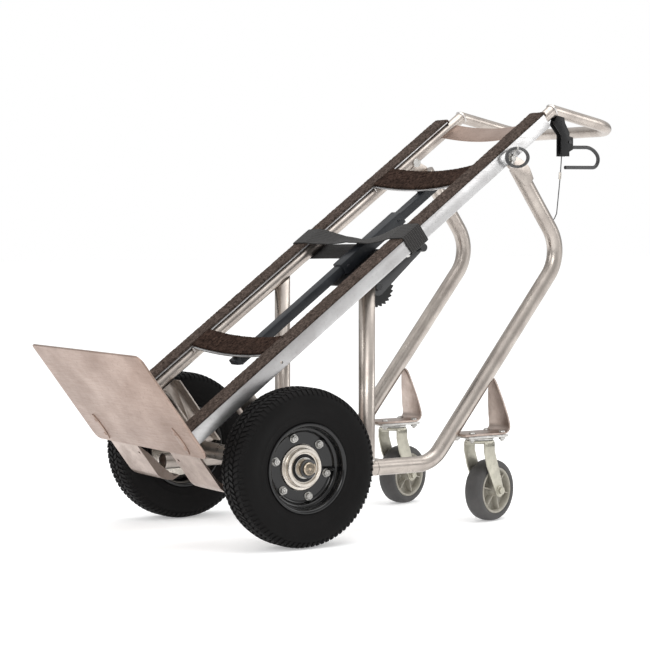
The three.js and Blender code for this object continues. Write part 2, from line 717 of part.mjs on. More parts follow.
// ---- rear frame: bent legs, caster brackets and casters ----
const pivot = fromRail(0, PIVOT_U, PIVOT_V);
const legCorners = (side, end) => [
  at(side * PIPE_X, 590, 746),
  at(side * PIPE_X, 715, 565.3),
  at(side * PIPE_X, 372.5, BOTTOM_Z),
  at(side * PIPE_X, end, BOTTOM_Z),
];
const legPath = (side, end) => rounded(legCorners(side, end), [85, 70], 4);
const CABLE_ENTRY = [at(PIPE_X, 704, 655), at(PIPE_X, 672, 616)];
for (const [tag, side] of SIDES) {
  const x = side * PIPE_X;
  const across = (from, to) => [Math.min(x + from, x + to), Math.max(x + from, x + to)];
  const lug = [
    [pivot.y - 13, pivot.z + 2],
    [pivot.y - 7, pivot.z + 12],
    [pivot.y + 5, pivot.z + 13],
    [600, 756],
    [622, 722],
    [600, 706],
    [574, 730],
    [pivot.y - 9, pivot.z - 10],
  ];
  const outer = join(
    pipe(legPath(side, BOTTOM_REAR + 1), PIPE_R, 12),
    plateX(lug, ...(side > 0 ? [179, 184] : [-184, -179])),
  );
  const tools = [
    pipe(legPath(side, 255), PIPE_BORE, 8),
    barY(6.3, BOTTOM_REAR - 5, 265, x, BOTTOM_Z, 12),
    barX(PIVOT_PIN_R + 0.4, ...across(5, 25), pivot.y, pivot.z, 16),
  ];
  if (side < 0) tools[2] = barX(PIVOT_PIN_R + 0.4, ...across(-25, -5), pivot.y, pivot.z, 16);
  if (side > 0) tools.push(pipe(CABLE_ENTRY, 3, 8));
  add(truck, `caster_leg_${tag}`, cut(outer, ...tools), aluminium);

  const plunger = [
    [0, BOTTOM_REAR - 1.6],
    [2.6, BOTTOM_REAR - 1],
    [6, BOTTOM_REAR + 2.8],
    [6, BOTTOM_REAR + 40],
    [0, BOTTOM_REAR + 40],
  ].map(([r, y]) => new THREE.Vector2(r, y));
  const plungerShape = new THREE.LatheGeometry(plunger, 12).translate(x, 0, BOTTOM_Z);
  add(truck, `latch_plunger_${tag}`, toGeometry(toSolid(plungerShape)), steel);

  // Bracket: a foot that bends up into a wing and tapers to the leg.
  const cx = side * CASTER_X;
  const bend = rounded(
    [at(0, 436, 187.6), at(0, 562, 187.6), at(0, 529, 306)],
    16,
    4,
  ).map((p) => [p.y, p.z]);
  const taper = [
    [cx - 35, 170],
    [cx + 35, 170],
    [cx + 35, 205],
    [cx + 29, 240],
    [cx + 16, 285],
    [cx + 8, 308],
    [cx - 8, 308],
    [cx - 16, 285],
    [cx - 29, 240],
    [cx - 35, 205],
  ];
  const bolts = [
    [-27, -39],
    [27, -39],
    [27, 39],
    [-27, 39],
  ];
  const bracket = cut(
    common(plateX(stripOutline(bend, 4.4), cx - 40, cx + 40), plateY(taper, 380, 640)),
    pipe(legPath(side, BOTTOM_REAR + 1), PIPE_R + GAP, 12),
    ...bolts.map(([dx, dy]) => barZ(4.6, 180, 195, cx + dx, CASTER_Y + dy, 8)),
  );
  add(truck, `caster_bracket_${tag}`, bracket, plate);

  const topPlate = join(
    box(cx - 35, cx + 35, CASTER_Y - 52, CASTER_Y + 52, 180, CASTER_PLATE_TOP),
    barZ(29, 174, 181, cx, CASTER_Y, 18),
    ...bolts.map(([dx, dy]) => barZ(4, 176, 194, cx + dx, CASTER_Y + dy, 6)),
    ...bolts.map(([dx, dy]) => barZ(7, 174.5, 180.5, cx + dx, CASTER_Y + dy, 6)),
    ...bolts.map(([dx, dy]) => barZ(6, 190.3, 194.5, cx + dx, CASTER_Y + dy, 6)),
  );
  add(truck, `caster_plate_${tag}`, topPlate, zinc);

  // Swivel: everything below the raceway, turned about the vertical.
  const swivel = new THREE.Group();
  swivel.position.set(cx, CASTER_Y, 0);
  swivel.rotation.z = CASTER_TURN;
  truck.add(swivel);
  const forkLeg = [
    [-17, 172],
    [17, 172],
    [CASTER_TRAIL + 13, CASTER_R + 4],
    [CASTER_TRAIL + 10, CASTER_R - 9],
    [CASTER_TRAIL, CASTER_R - 14],
    [CASTER_TRAIL - 10, CASTER_R - 9],
    [CASTER_TRAIL - 13, CASTER_R + 2],
  ];
  const fork = join(
    barZ(30, 168, 173.4, 0, 0, 18),
    box(-28, 28, -17, 17, 168, 172),
    plateX(forkLeg, -28, -24.4),
    plateX(forkLeg, 24.4, 28),
    barX(5, -34, 34, CASTER_TRAIL, CASTER_R, 12),
    barX(8.5, 27, 33.5, CASTER_TRAIL, CASTER_R, 6),
    barX(8.5, -33.5, -27, CASTER_TRAIL, CASTER_R, 6),
  );
  add(swivel, `caster_fork_${tag}`, fork, zinc);
  const treadProfile = [
    [49, -20],
    [60, -20.5],
    [CASTER_R, -12],
    [CASTER_R, 12],
    [60, 20.5],
    [49, 20],
  ];
  const tread = turnX(treadProfile, 24, 0, CASTER_TRAIL, CASTER_R);
  add(swivel, `caster_tread_${tag}`, tread, greyRubber);
  const coreProfile = [
    [5.6, -23.5],
    [12, -23.5],
    [12, -3],
    [42, -3],
    [43, -19],
    [48, -19],
    [48, 19],
    [43, 19],
    [42, 3],
    [12, 3],
    [12, 23.5],
    [5.6, 23.5],
  ];
  const ribs = [];
  for (let i = 0; i < 5; i++) {
    const rib = box(-15, 15, 10, 44, -2, 2);
    rib.rotateX((i / 5) * Math.PI * 2 + 0.3);
    ribs.push(rib.translate(0, CASTER_TRAIL, CASTER_R));
  }
  const coreShape = join(turnX(coreProfile, 14, 0, CASTER_TRAIL, CASTER_R), ...ribs);
  add(swivel, `caster_core_${tag}`, coreShape, core);
}
const crossHalf = PIPE_X - PIPE_R - GAP;
add(truck, "leg_cross_tube", barX(12.7, -crossHalf, crossHalf, 264, BOTTOM_Z, 20), aluminium);

// ---- pivot pins held by linch pins with snap rings ----
const pinRing = { along: 28, across: 19.5, wire: 2.3 };
for (const [tag, side] of SIDES) {
  const span = (from, to) => [Math.min(side * from, side * to), Math.max(side * from, side * to)];
  const lean = 0.26;
  const reach = 22.2;
  const collarAt = at(side * 202.5, pivot.y + reach * Math.sin(lean), pivot.z + reach * Math.cos(lean));
  const shank = new THREE.CylinderGeometry(2.6, 2.6, 42, 8)
    .rotateX(Math.PI / 2 - lean)
    .translate(side * 202.5, pivot.y, pivot.z);
  const ringPlane = side * 208.2;
  const neck = barX(3, ...span(199, 206), collarAt.y, collarAt.z, 8);
  const knob = new THREE.SphereGeometry(4.6, 10, 8).translate(ringPlane, collarAt.y, collarAt.z);
  const pin = join(
    barX(PIVOT_PIN_R, ...span(150, 205.4), pivot.y, pivot.z, 14),
    barX(9.5, ...span(147.5, 150.8), pivot.y, pivot.z, 10),
    barX(9.5, ...span(196.8, 198.8), pivot.y, pivot.z, 10),
    shank,
    neck,
    knob,
  );
  add(truck, `pivot_pin_${tag}`, pin, steel);
  const ring = new THREE.TorusGeometry(1, pinRing.wire / pinRing.across, 6, 20);
  ring.scale(pinRing.along, pinRing.across, pinRing.across);
  ring.applyMatrix4(new THREE.Matrix4().set(0, 0, 1, 0, 1, 0, 0, 0, 0, 1, 0, 0, 0, 0, 0, 1));
  ring.translate(ringPlane, collarAt.y, collarAt.z - pinRing.across);
  const ballClearance = new THREE.SphereGeometry(5.1, 14, 10).translate(ringPlane, collarAt.y, collarAt.z);
  add(truck, `pin_ring_${tag}`, cut(ring, ballClearance), gloss);
}

// ---- release lever under the handle, and its cable down the right leg ----
const handleKeepOut = pipe(handlePath, HANDLE_R + GAP, 16);
const tubeKeepOut = tubeClearance(1, RAIL_TUBE_R + GAP);
const hangerOutline = [
  [686, 838],
  [693, 860],
  [711, 860],
  [715, 842],
  [727, 822],
  [727, 814],
  [737, 812],
  [737, 786],
  [727, 781],
  [727, 771],
  [705, 771],
  [705, 816],
];
const hanger = join(
  plateX(hangerOutline, 155, 158.2),
  plateX(hangerOutline, 169.8, 173),
  box(155, 173, 690, 706, 838, 846),
);
add(
  truck,
  "release_bracket",
  cut(hanger, handleKeepOut, tubeKeepOut, barX(4.4, 150, 180, LEVER_Y, LEVER_Z, 16)),
  black,
);
const loopPath = rounded(
  [
    at(RAIL_TUBE_X, LEVER_Y, LEVER_Z),
    at(RAIL_TUBE_X, 741, 791),
    at(RAIL_TUBE_X, 796, 792),
    at(RAIL_TUBE_X, 818, 768),
    at(RAIL_TUBE_X, 806, 748.5),
    at(RAIL_TUBE_X, 722, 747.5),
  ],
  [8, 18, 12, 10],
  3,
);
const lever = join(
  pipe(loopPath, 4, 8),
  barX(7.5, 158.8, 169.2, LEVER_Y, LEVER_Z, 12),
  barX(4, 153, 175, LEVER_Y, LEVER_Z, 12),
  plateX([[722, 806], [733, 800], [720, 773], [711, 776]], 161.5, 166.5),
);
add(truck, "release_lever", lever, coated);

const cablePoints = [at(RAIL_TUBE_X, 712.5, 772), at(PIPE_X, 708, 726), at(PIPE_X, 699, 649)];
const inLeg = legPath(1, BOTTOM_REAR + 42);
cablePoints.push(at(PIPE_X, 684, 630.6), at(PIPE_X, 676, 612), ...inLeg.slice(2));
add(truck, "release_cable", pipe(cablePoints, 1.3, 8), steel);

// ---- origin at the middle of the base ----
const bounds = new THREE.Box3().setFromObject(truck);
truck.position.y = -(bounds.min.y + bounds.max.y) / 2;

export default truck;
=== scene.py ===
# Convertible hand truck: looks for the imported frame
import json
import math

import bmesh
import bpy
from mathutils import Matrix, Vector


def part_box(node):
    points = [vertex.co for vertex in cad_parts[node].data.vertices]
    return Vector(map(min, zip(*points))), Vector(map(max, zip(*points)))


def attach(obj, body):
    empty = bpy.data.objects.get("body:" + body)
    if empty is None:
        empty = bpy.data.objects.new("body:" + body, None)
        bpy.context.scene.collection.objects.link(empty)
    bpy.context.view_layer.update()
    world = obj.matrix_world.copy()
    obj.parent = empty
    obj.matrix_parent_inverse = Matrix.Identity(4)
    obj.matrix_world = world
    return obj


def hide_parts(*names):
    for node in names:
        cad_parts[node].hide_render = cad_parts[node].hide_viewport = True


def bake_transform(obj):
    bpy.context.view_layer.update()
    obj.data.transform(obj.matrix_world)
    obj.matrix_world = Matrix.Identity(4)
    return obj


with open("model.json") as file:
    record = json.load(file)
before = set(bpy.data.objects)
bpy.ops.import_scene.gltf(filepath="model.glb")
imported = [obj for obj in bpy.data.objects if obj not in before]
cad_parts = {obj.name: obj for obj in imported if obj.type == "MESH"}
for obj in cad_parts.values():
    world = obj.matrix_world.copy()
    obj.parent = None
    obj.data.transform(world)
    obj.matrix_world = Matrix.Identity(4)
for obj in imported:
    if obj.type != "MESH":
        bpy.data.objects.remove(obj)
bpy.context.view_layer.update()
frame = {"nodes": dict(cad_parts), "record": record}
print("frame loaded:", len(frame["nodes"]), "nodes")

sides = [("r", 1), ("l", -1)]
mm = 0.001


def boxCentre(node):
    low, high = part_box(node)
    return (low + high) / 2


# the rails lean back; their own axes are across, along and out
toeFace = [m for m in frame["record"]["mounts"] if m["name"] == "toe_plate_face"][0]
alongRail = Vector(toeFace["axis"]).normalized()
outOfRail = Vector((1, 0, 0)).cross(alongRail)
railOrigin = Vector(toeFace["pos_m"]) - alongRail * 4.8 * mm - outOfRail * 110 * mm
railTilt = math.atan2(alongRail.z, alongRail.y)
railMatrix = Matrix.Translation(railOrigin) @ Matrix.Rotation(railTilt, 4, "X")
axlePlace = boxCentre("axle")
axleHeight = 156  # of its middle above the floor, in mm


def onRail(x, u, v):
    return railMatrix @ Vector((x * mm, u * mm, v * mm))


def fromAxle(x, y, z):
    # across, behind the axle and above the floor, in mm
    return Vector((x * mm, axlePlace.y + y * mm, z * mm))


def shift(x, y, z):
    return Matrix.Translation((x * mm, y * mm, z * mm))


# Camera and light
cameraLook = {
    "place": fromAxle(3565.3, -2035.8, 618.0),
    "yaw": 57.72,
    "tiltDown": 2.75,
    "lens": 111.92,
}
bpy.ops.object.select_all(action="DESELECT")
bpy.ops.object.camera_add(
    location=cameraLook["place"],
    rotation=(math.radians(90 - cameraLook["tiltDown"]), 0, math.radians(cameraLook["yaw"])),
)
camera = bpy.context.object
camera.name = "camera"
camera.data.lens = cameraLook["lens"]
camera.data.sensor_width = 36
bpy.context.scene.camera = camera

bpy.context.scene.view_settings.view_transform = "Standard"
studio = {
    "backdrop": 1.0,
    "lowSky": 0.42,
    "highSky": 1.0,
    "floorColour": (0.88, 0.88, 0.88),
    "floorGlow": 0.34,
}


def softLight(name, place, aim, size, power):
    turn = (Vector(aim) - Vector(place)).to_track_quat("-Z", "Y").to_euler()
    bpy.ops.object.light_add(type="AREA", location=place, rotation=turn)
    light = bpy.context.object
    light.name = name
    light.data.shape = "RECTANGLE"
    light.data.size = size[0]
    light.data.size_y = size[1]
    light.data.energy = power


softLight("light_top", (0.4, 0.3, 3.0), (0, 0, 0.3), (2.6, 2.6), 40)
softLight("light_front", (3.0, -3.2, 2.2), (0, 0, 0.4), (2.2, 1.6), 44)
softLight("light_left", (-0.6, -3.6, 1.4), (0, -0.2, 0.4), (1.4, 2.0), 24)
softLight("light_rear", (2.6, 3.0, 1.8), (0, 0.3, 0.4), (1.6, 1.8), 24)
world = bpy.data.worlds.new("studio")
bpy.context.scene.world = world
world.use_nodes = True
# the sky is darker near the horizon, so that round metal shows its shape
skyNodes = world.node_tree.nodes
skyLinks = world.node_tree.links
skyPlace = skyNodes.new("ShaderNodeTexCoord")
skyAxes = skyNodes.new("ShaderNodeSeparateXYZ")
skyRise = skyNodes.new("ShaderNodeMapRange")
skyRise.inputs["From Min"].default_value = 0.0
skyRise.inputs["From Max"].default_value = 0.75
skyRise.inputs["To Min"].default_value = studio["lowSky"]
skyRise.inputs["To Max"].default_value = studio["highSky"]
skySeen = skyNodes.new("ShaderNodeLightPath")
skyPick = skyNodes.new("ShaderNodeMix")
skyPick.inputs[3].default_value = studio["backdrop"]
skyLinks.new(skyPlace.outputs["Generated"], skyAxes.inputs[0])
skyLinks.new(skyAxes.outputs["Z"], skyRise.inputs["Value"])
skyLinks.new(skySeen.outputs["Is Camera Ray"], skyPick.inputs[0])
skyLinks.new(skyRise.outputs["Result"], skyPick.inputs[2])
skyLinks.new(skyPick.outputs[0], skyNodes["Background"].inputs["Strength"])
skyNodes["Background"].inputs["Color"].default_value = (1, 1, 1, 1)


# Materials
def addNode(material, kind, inputs=None, **settings):
    node = material.node_tree.nodes.new(kind)
    for key, value in settings.items():
        setattr(node, key, value)
    for key, value in (inputs or {}).items():
        node.inputs[key].default_value = value
    return node


def connect(material, start, end):
    material.node_tree.links.new(start, end)


def rgba(colour):
    return (*colour, 1)


def newMaterial(name, **fixed):
    material = bpy.data.materials.new(name)
    material.use_nodes = True
    shader = material.node_tree.nodes["Principled BSDF"]
    for key, value in fixed.items():
        shader.inputs[key].default_value = value
    return material, shader


def objectPlace(material, scale=(1, 1, 1), turn=(0, 0, 0)):
    where = addNode(material, "ShaderNodeTexCoord")
    mapping = addNode(material, "ShaderNodeMapping")
    mapping.inputs["Scale"].default_value = scale
    mapping.inputs["Rotation"].default_value = turn
    connect(material, where.outputs["Object"], mapping.inputs["Vector"])
    return mapping.outputs["Vector"]


def noiseAt(material, place, scale, detail=4, rough=0.55):
    noise = addNode(
        material,
        "ShaderNodeTexNoise",
        {"Scale": scale, "Detail": detail, "Roughness": rough},
    )
    connect(material, place, noise.inputs["Vector"])
    return noise.outputs["Fac"]


def spread(material, value, low, high, toLow=0.0, toHigh=1.0):
    node = addNode(
        material,
        "ShaderNodeMapRange",
        {"From Min": low, "From Max": high, "To Min": toLow, "To Max": toHigh},
    )
    connect(material, value, node.inputs["Value"])
    return node.outputs["Result"]


# a socket takes a link, a colour or a plain value
def feed(material, value, socket):
    if isinstance(value, bpy.types.NodeSocket):
        connect(material, value, socket)
    else:
        socket.default_value = rgba(value) if isinstance(value, tuple) else value


def blendColour(material, amount, first, second):
    node = addNode(material, "ShaderNodeMix", data_type="RGBA")
    factor, colourA, colourB = node.inputs[0], node.inputs[6], node.inputs[7]
    feed(material, amount, factor)
    feed(material, first, colourA)
    feed(material, second, colourB)
    return node.outputs[2]


def combine(material, operation, first, second):
    node = addNode(material, "ShaderNodeMath", operation=operation)
    feed(material, first, node.inputs[0])
    feed(material, second, node.inputs[1])
    return node.outputs[0]


def addBump(material, shader, height, distance, strength=1.0):
    bump = addNode(material, "ShaderNodeBump", {"Distance": distance, "Strength": strength})
    connect(material, height, bump.inputs["Height"])
    connect(material, bump.outputs["Normal"], shader.inputs["Normal"])


# Metal with drawn streaks along one axis, cloudy dull patches and specks of stain
def metalFinish(name, look):
    material, shader = newMaterial(name, Metallic=look.get("metallic", 1.0))
    stretch = look.get("stretch", (1, 1, 1))
    turn = look.get("turn", (0, 0, 0))
    streaks = noiseAt(material, objectPlace(material, stretch, turn), look.get("streakScale", 420), 3)
    cloudPlace = objectPlace(material)
    clouds = noiseAt(material, cloudPlace, look.get("cloudScale", 14), 6, 0.6)
    specks = noiseAt(material, cloudPlace, look.get("speckScale", 160), 3, 0.7)
    cloudy = spread(material, clouds, 0.38, 0.66)
    dirty = spread(material, specks, 0.56, 0.72)
    shade = blendColour(material, cloudy, look["light"], look["dull"])
    dirtyShade = blendColour(material, combine(material, "MULTIPLY", dirty, look.get("dirt", 0.35)),
                             shade, look["stain"])
    final = blendColour(material, combine(material, "MULTIPLY", streaks, look.get("streakTint", 0.25)),
                        dirtyShade, look["stain"])
    connect(material, final, shader.inputs["Base Color"])
    low, high = look["roughness"]
    grain = combine(material, "ADD", combine(material, "MULTIPLY", streaks, 0.5),
                    combine(material, "MULTIPLY", clouds, 0.5))
    connect(material, spread(material, grain, 0.32, 0.68, low, high), shader.inputs["Roughness"])
    addBump(material, shader, grain, look.get("bump", 0.00006))
    return material


def fabricFinish(name, look):
    material, shader = newMaterial(name, Roughness=1.0)
    shader.inputs["Specular IOR Level"].default_value = 0.04
    shader.inputs["Sheen Weight"].default_value = look.get("sheen", 0.25)
    shader.inputs["Sheen Roughness"].default_value = 0.6
    place = objectPlace(material)
    fibres = noiseAt(material, place, look["fibreScale"], 5, 0.75)
    patches = noiseAt(material, place, look["patchScale"], 4, 0.6)
    tufts = addNode(material, "ShaderNodeTexVoronoi", {"Scale": look["tuftScale"]})
    connect(material, place, tufts.inputs["Vector"])
    pale = blendColour(material, spread(material, fibres, 0.36, 0.66), look["dark"], look["light"])
    worn = blendColour(material, spread(material, patches, 0.42, 0.7, 0, 0.6), pale, look["worn"])
    connect(material, worn, shader.inputs["Base Color"])
    height = combine(material, "SUBTRACT", fibres,
                     combine(material, "MULTIPLY", tufts.outputs["Distance"], 0.6))
    addBump(material, shader, height, look["bump"])
    return material


# Paint, rubber and plastic: an even colour with slight mottling, dust and a fine skin
def skinFinish(name, look):
    material, shader = newMaterial(name, Metallic=look.get("metallic", 0.0))
    shader.inputs["Specular IOR Level"].default_value = look.get("shine", 0.5)
    shader.inputs["Coat Weight"].default_value = look.get("coat", 0.0)
    shader.inputs["Coat Roughness"].default_value = look.get("coatRoughness", 0.1)
    place = objectPlace(material, look.get("stretch", (1, 1, 1)), look.get("turn", (0, 0, 0)))
    mottle = noiseAt(material, place, look.get("mottleScale", 24), 6, 0.6)
    grain = noiseAt(material, place, look.get("grainScale", 500), 3, 0.6)
    dust = combine(material, "MULTIPLY", spread(material, mottle, 0.45, 0.72), look.get("dust", 0.4))
    tone = blendColour(material, dust, look["colour"], look["dusty"])
    flecked = blendColour(material, spread(material, grain, 0.55, 0.75, 0, look.get("fleck", 0.25)),
                          tone, look["dusty"])
    connect(material, flecked, shader.inputs["Base Color"])
    low, high = look["roughness"]
    connect(material, spread(material, mottle, 0.35, 0.7, low, high), shader.inputs["Roughness"])
    addBump(material, shader, grain, look.get("bump", 0.00008))
    return material


# Webbing: ribs across the width and a fine weave, on the ribbon's own lengthwise map
def webbingFinish(name, look):
    material, shader = newMaterial(name, Roughness=0.9)
    shader.inputs["Specular IOR Level"].default_value = 0.25
    shader.inputs["Sheen Weight"].default_value = 0.04
    uv = addNode(material, "ShaderNodeUVMap")
    cross = addNode(material, "ShaderNodeTexWave",
                    {"Scale": look["ribScale"], "Distortion": 0.6, "Detail": 2},
                    wave_type="BANDS", bands_direction="X")
    along = addNode(material, "ShaderNodeTexWave",
                    {"Scale": look["yarnScale"], "Distortion": 0.3, "Detail": 1},
                    wave_type="BANDS", bands_direction="Y")
    connect(material, uv.outputs["UV"], cross.inputs["Vector"])
    connect(material, uv.outputs["UV"], along.inputs["Vector"])
    weave = combine(material, "MULTIPLY", cross.outputs["Fac"], along.outputs["Fac"])
    fuzz = noiseAt(material, objectPlace(material), 260, 4, 0.7)
    mixed = combine(material, "ADD", combine(material, "MULTIPLY", weave, 0.6),
                    combine(material, "MULTIPLY", fuzz, 0.4))
    connect(material, blendColour(material, mixed, look["dark"], look["light"]),
            shader.inputs["Base Color"])
    addBump(material, shader, weave, look["bump"])
    return material


finish = {
    "rail": metalFinish("rail_aluminium", {
        "light": (0.60, 0.60, 0.60), "dull": (0.44, 0.43, 0.43), "stain": (0.30, 0.28, 0.27),
        "roughness": (0.30, 0.46), "turn": (-railTilt, 0, 0), "stretch": (1, 0.03, 1), "cloudScale": 11}),
    "pipe": metalFinish("pipe_aluminium", {
        "light": (0.54, 0.49, 0.445), "dull": (0.38, 0.34, 0.31), "stain": (0.22, 0.185, 0.16),
        "roughness": (0.24, 0.40), "stretch": (1, 0.25, 0.25), "streakScale": 130, "cloudScale": 16,
        "bump": 0.00002}),
    # plate: its darker, browner base colour is partly the aluminium's own tone and partly a painted dark
    # reflection of the floor
    "plate": metalFinish("plate_aluminium", {
        "light": (0.43, 0.325, 0.275), "dull": (0.32, 0.235, 0.195), "stain": (0.18, 0.13, 0.105),
        "roughness": (0.34, 0.52), "turn": (-railTilt, 0, 0), "stretch": (0.05, 1, 1),
        "cloudScale": 9, "dirt": 0.5}),
    "bracket": metalFinish("bracket_aluminium", {
        "light": (0.52, 0.43, 0.38), "dull": (0.34, 0.27, 0.235), "stain": (0.18, 0.14, 0.12),
        "roughness": (0.28, 0.46), "stretch": (1, 1, 0.08), "cloudScale": 18}),
    "weld": metalFinish("weld_bead", {
        "light": (0.76, 0.74, 0.72), "dull": (0.58, 0.55, 0.53), "stain": (0.40, 0.37, 0.35),
        "roughness": (0.22, 0.36), "streakScale": 300, "bump": 0.0002}),
    "zinc": metalFinish("zinc_steel", {
        "light": (0.62, 0.61, 0.59), "dull": (0.43, 0.42, 0.40), "stain": (0.22, 0.21, 0.19),
        "roughness": (0.26, 0.44), "streakScale": 90, "cloudScale": 40}),
    "fork": metalFinish("fork_zinc", {
        "light": (0.56, 0.54, 0.455), "dull": (0.42, 0.40, 0.335), "stain": (0.23, 0.21, 0.17),
        "roughness": (0.34, 0.50), "streakScale": 70, "cloudScale": 30,
        "metallic": 0.75}),
    "machined": metalFinish("machined_steel", {
        "light": (0.66, 0.62, 0.57), "dull": (0.56, 0.52, 0.46), "stain": (0.36, 0.31, 0.26),
        "roughness": (0.22, 0.38), "streakScale": 200, "cloudScale": 45}),
    "darkSteel": metalFinish("dark_steel", {
        "light": (0.12, 0.12, 0.12), "dull": (0.07, 0.07, 0.07), "stain": (0.03, 0.03, 0.03),
        "roughness": (0.32, 0.5), "streakScale": 150, "cloudScale": 50}),
    "axleEnd": metalFinish("axle_steel", {
        "light": (0.56, 0.48, 0.38), "dull": (0.46, 0.39, 0.30), "stain": (0.28, 0.22, 0.17),
        "roughness": (0.26, 0.42), "streakScale": 180, "cloudScale": 60}),
    "railCarpet": fabricFinish("rail_carpet_pile", {
        "dark": (0.010, 0.007, 0.005), "light": (0.135, 0.103, 0.088), "worn": (0.040, 0.030, 0.025),
        "sheen": 0.0,
        "fibreScale": 190, "patchScale": 46, "tuftScale": 150, "bump": 0.0012}),
    "barCarpet": fabricFinish("bar_carpet_pile", {
        "dark": (0.004, 0.002, 0.0015), "light": (0.070, 0.044, 0.034), "worn": (0.014, 0.009, 0.007),
        "sheen": 0.0,
        "fibreScale": 150, "patchScale": 40, "tuftScale": 120, "bump": 0.0015}),
    "webbing": webbingFinish("strap_webbing", {
        "dark": (0.007, 0.007, 0.007), "light": (0.075, 0.071, 0.068),
        "ribScale": 95, "yarnScale": 60, "bump": 0.0007}),
    "column": skinFinish("column_coating", {
        "colour": (0.009, 0.011, 0.014), "dusty": (0.030, 0.033, 0.039), "shine": 0.4,
        "roughness": (0.34, 0.55),
        "dust": 0.45, "stretch": (1, 0.3, 1), "turn": (-railTilt, 0, 0), "mottleScale": 20}),
    "blackSteel": skinFinish("black_steel", {
        "colour": (0.006, 0.006, 0.0065), "dusty": (0.022, 0.021, 0.020), "shine": 0.35,
        "roughness": (0.3, 0.5),
        "dust": 0.35, "metallic": 0.2}),
    "tyre": skinFinish("tyre_rubber", {
        "colour": (0.0045, 0.0042, 0.0042), "dusty": (0.012, 0.011, 0.011), "roughness": (0.50, 0.72),
        "dust": 0.45, "shine": 0.10, "mottleScale": 16, "grainScale": 700, "bump": 0.0001}),
    "rim": skinFinish("rim_black_gloss", {
        "colour": (0.003, 0.003, 0.0033), "dusty": (0.014, 0.014, 0.015), "roughness": (0.12, 0.26),
        "dust": 0.25, "shine": 0.3, "coat": 0.3, "coatRoughness": 0.06, "bump": 0.00003}),
    "tread": skinFinish("caster_rubber", {
        "colour": (0.060, 0.058, 0.057), "dusty": (0.105, 0.10, 0.097), "shine": 0.3,
        "roughness": (0.45, 0.68),
        "dust": 0.5, "mottleScale": 30, "bump": 0.00012}),
    "core": skinFinish("caster_core_plastic", {
        "colour": (0.36, 0.34, 0.29), "dusty": (0.20, 0.18, 0.14), "roughness": (0.4, 0.62),
        "dust": 0.6, "mottleScale": 40, "bump": 0.0001}),
    "coated": skinFinish("lever_coating", {
        "colour": (0.009, 0.009, 0.010), "dusty": (0.04, 0.04, 0.042), "roughness": (0.26, 0.42),
        "dust": 0.3, "coat": 0.25, "bump": 0.00005}),
    "floor": skinFinish("studio_floor", {
        "colour": studio["floorColour"], "dusty": (0.84, 0.84, 0.84), "roughness": (0.7, 0.8),
        "dust": 0.2, "fleck": 0.05, "shine": 0.2, "bump": 0.00001}),
}


def paint(piece, material):
    piece.data.materials.clear()
    piece.data.materials.append(material)


nodeFinish = {
    "toe_plate": "plate", "lower_bar": "rail", "upper_bar": "rail", "top_bar": "plate",
    "rail_angle": "rail", "rail_tube": "pipe", "rail_carpet": "railCarpet",
    "lower_bar_carpet": "barCarpet", "upper_bar_carpet": "barCarpet",
    "handle_loop": "pipe", "column": "column", "strap_sleeve": "zinc", "strap_keeper": "blackSteel",
    "ratchet_frame": "zinc", "ratchet_spool": "blackSteel", "ratchet_lever": "coated",
    "strap": "webbing", "strap_hook": "zinc", "axle_tube": "pipe", "axle": "axleEnd",
    "axle_strut": "pipe", "heel_bracket": "bracket", "bottom_tube": "pipe", "post": "pipe",
    "tyre": "tyre", "rim": "rim", "hub": "machined", "caster_leg": "pipe",
    "latch_plunger": "zinc", "caster_bracket": "bracket", "caster_plate": "zinc",
    "caster_fork": "fork", "caster_tread": "tread", "caster_core": "core",
    "leg_cross_tube": "pipe", "pivot_pin": "zinc", "pin_ring": "darkSteel",
    "release_bracket": "zinc", "release_lever": "coated", "release_cable": "darkSteel",
}
for name, node in frame["nodes"].items():
    plain = name[:-2] if name[-2:] in ("_r", "_l") else name
    paint(node, finish[nodeFinish[plain]])

bpy.ops.object.select_all(action="DESELECT")
bpy.ops.mesh.primitive_plane_add(size=60, location=(0, 0, 0))
floor = bpy.context.object
floor.name = "studio_floor"
paint(floor, finish["floor"])
floorShader = finish["floor"].node_tree.nodes["Principled BSDF"]
floorShader.inputs["Emission Color"].default_value = (1, 1, 1, 1)
floorShader.inputs["Emission Strength"].default_value = studio["floorGlow"]
print("camera, lights and finishes ready")

# Modelling
def clearSelection():
    if bpy.context.object and bpy.context.object.mode != "OBJECT":
        bpy.ops.object.mode_set(mode="OBJECT")
    bpy.ops.object.select_all(action="DESELECT")


def pick(piece):
    clearSelection()
    piece.select_set(True)
    bpy.context.view_layer.objects.active = piece


def editAll(piece):
    pick(piece)
    bpy.ops.object.mode_set(mode="EDIT")
    bpy.ops.mesh.select_all(action="SELECT")


def applyPlace():
    bpy.ops.object.transform_apply(location=True, rotation=True, scale=True)


def extrudeBy(step):
    bpy.ops.mesh.extrude_region_move(TRANSFORM_OT_translate={"value": step})


def settle(piece, name, place=None, smooth=35):
    pick(piece)
    if place is not None:
        piece.matrix_world = place @ piece.matrix_world
    applyPlace()
    if smooth:
        bpy.ops.object.shade_smooth_by_angle(angle=math.radians(smooth))
    piece.name = name
    piece.data.name = name
    return piece


def rightWay(piece):
    editAll(piece)
    bpy.ops.mesh.remove_doubles(threshold=0.000004)
    bpy.ops.mesh.normals_make_consistent(inside=False)
    bpy.ops.object.mode_set(mode="OBJECT")


def soften(piece, width, segments=2, angle=40):
    pick(piece)
    bevel = piece.modifiers.new("soften", "BEVEL")
    bevel.width = width * mm
    bevel.segments = segments
    bevel.limit_method = "ANGLE"
    bevel.angle_limit = math.radians(angle)
    bpy.ops.object.modifier_apply(modifier="soften")
    return piece


def joinPieces(pieces, name):
    clearSelection()
    for piece in pieces:
        piece.select_set(True)
    bpy.context.view_layer.objects.active = pieces[0]
    bpy.ops.object.join()
    pieces[0].name = name
    pieces[0].data.name = name
    return pieces[0]


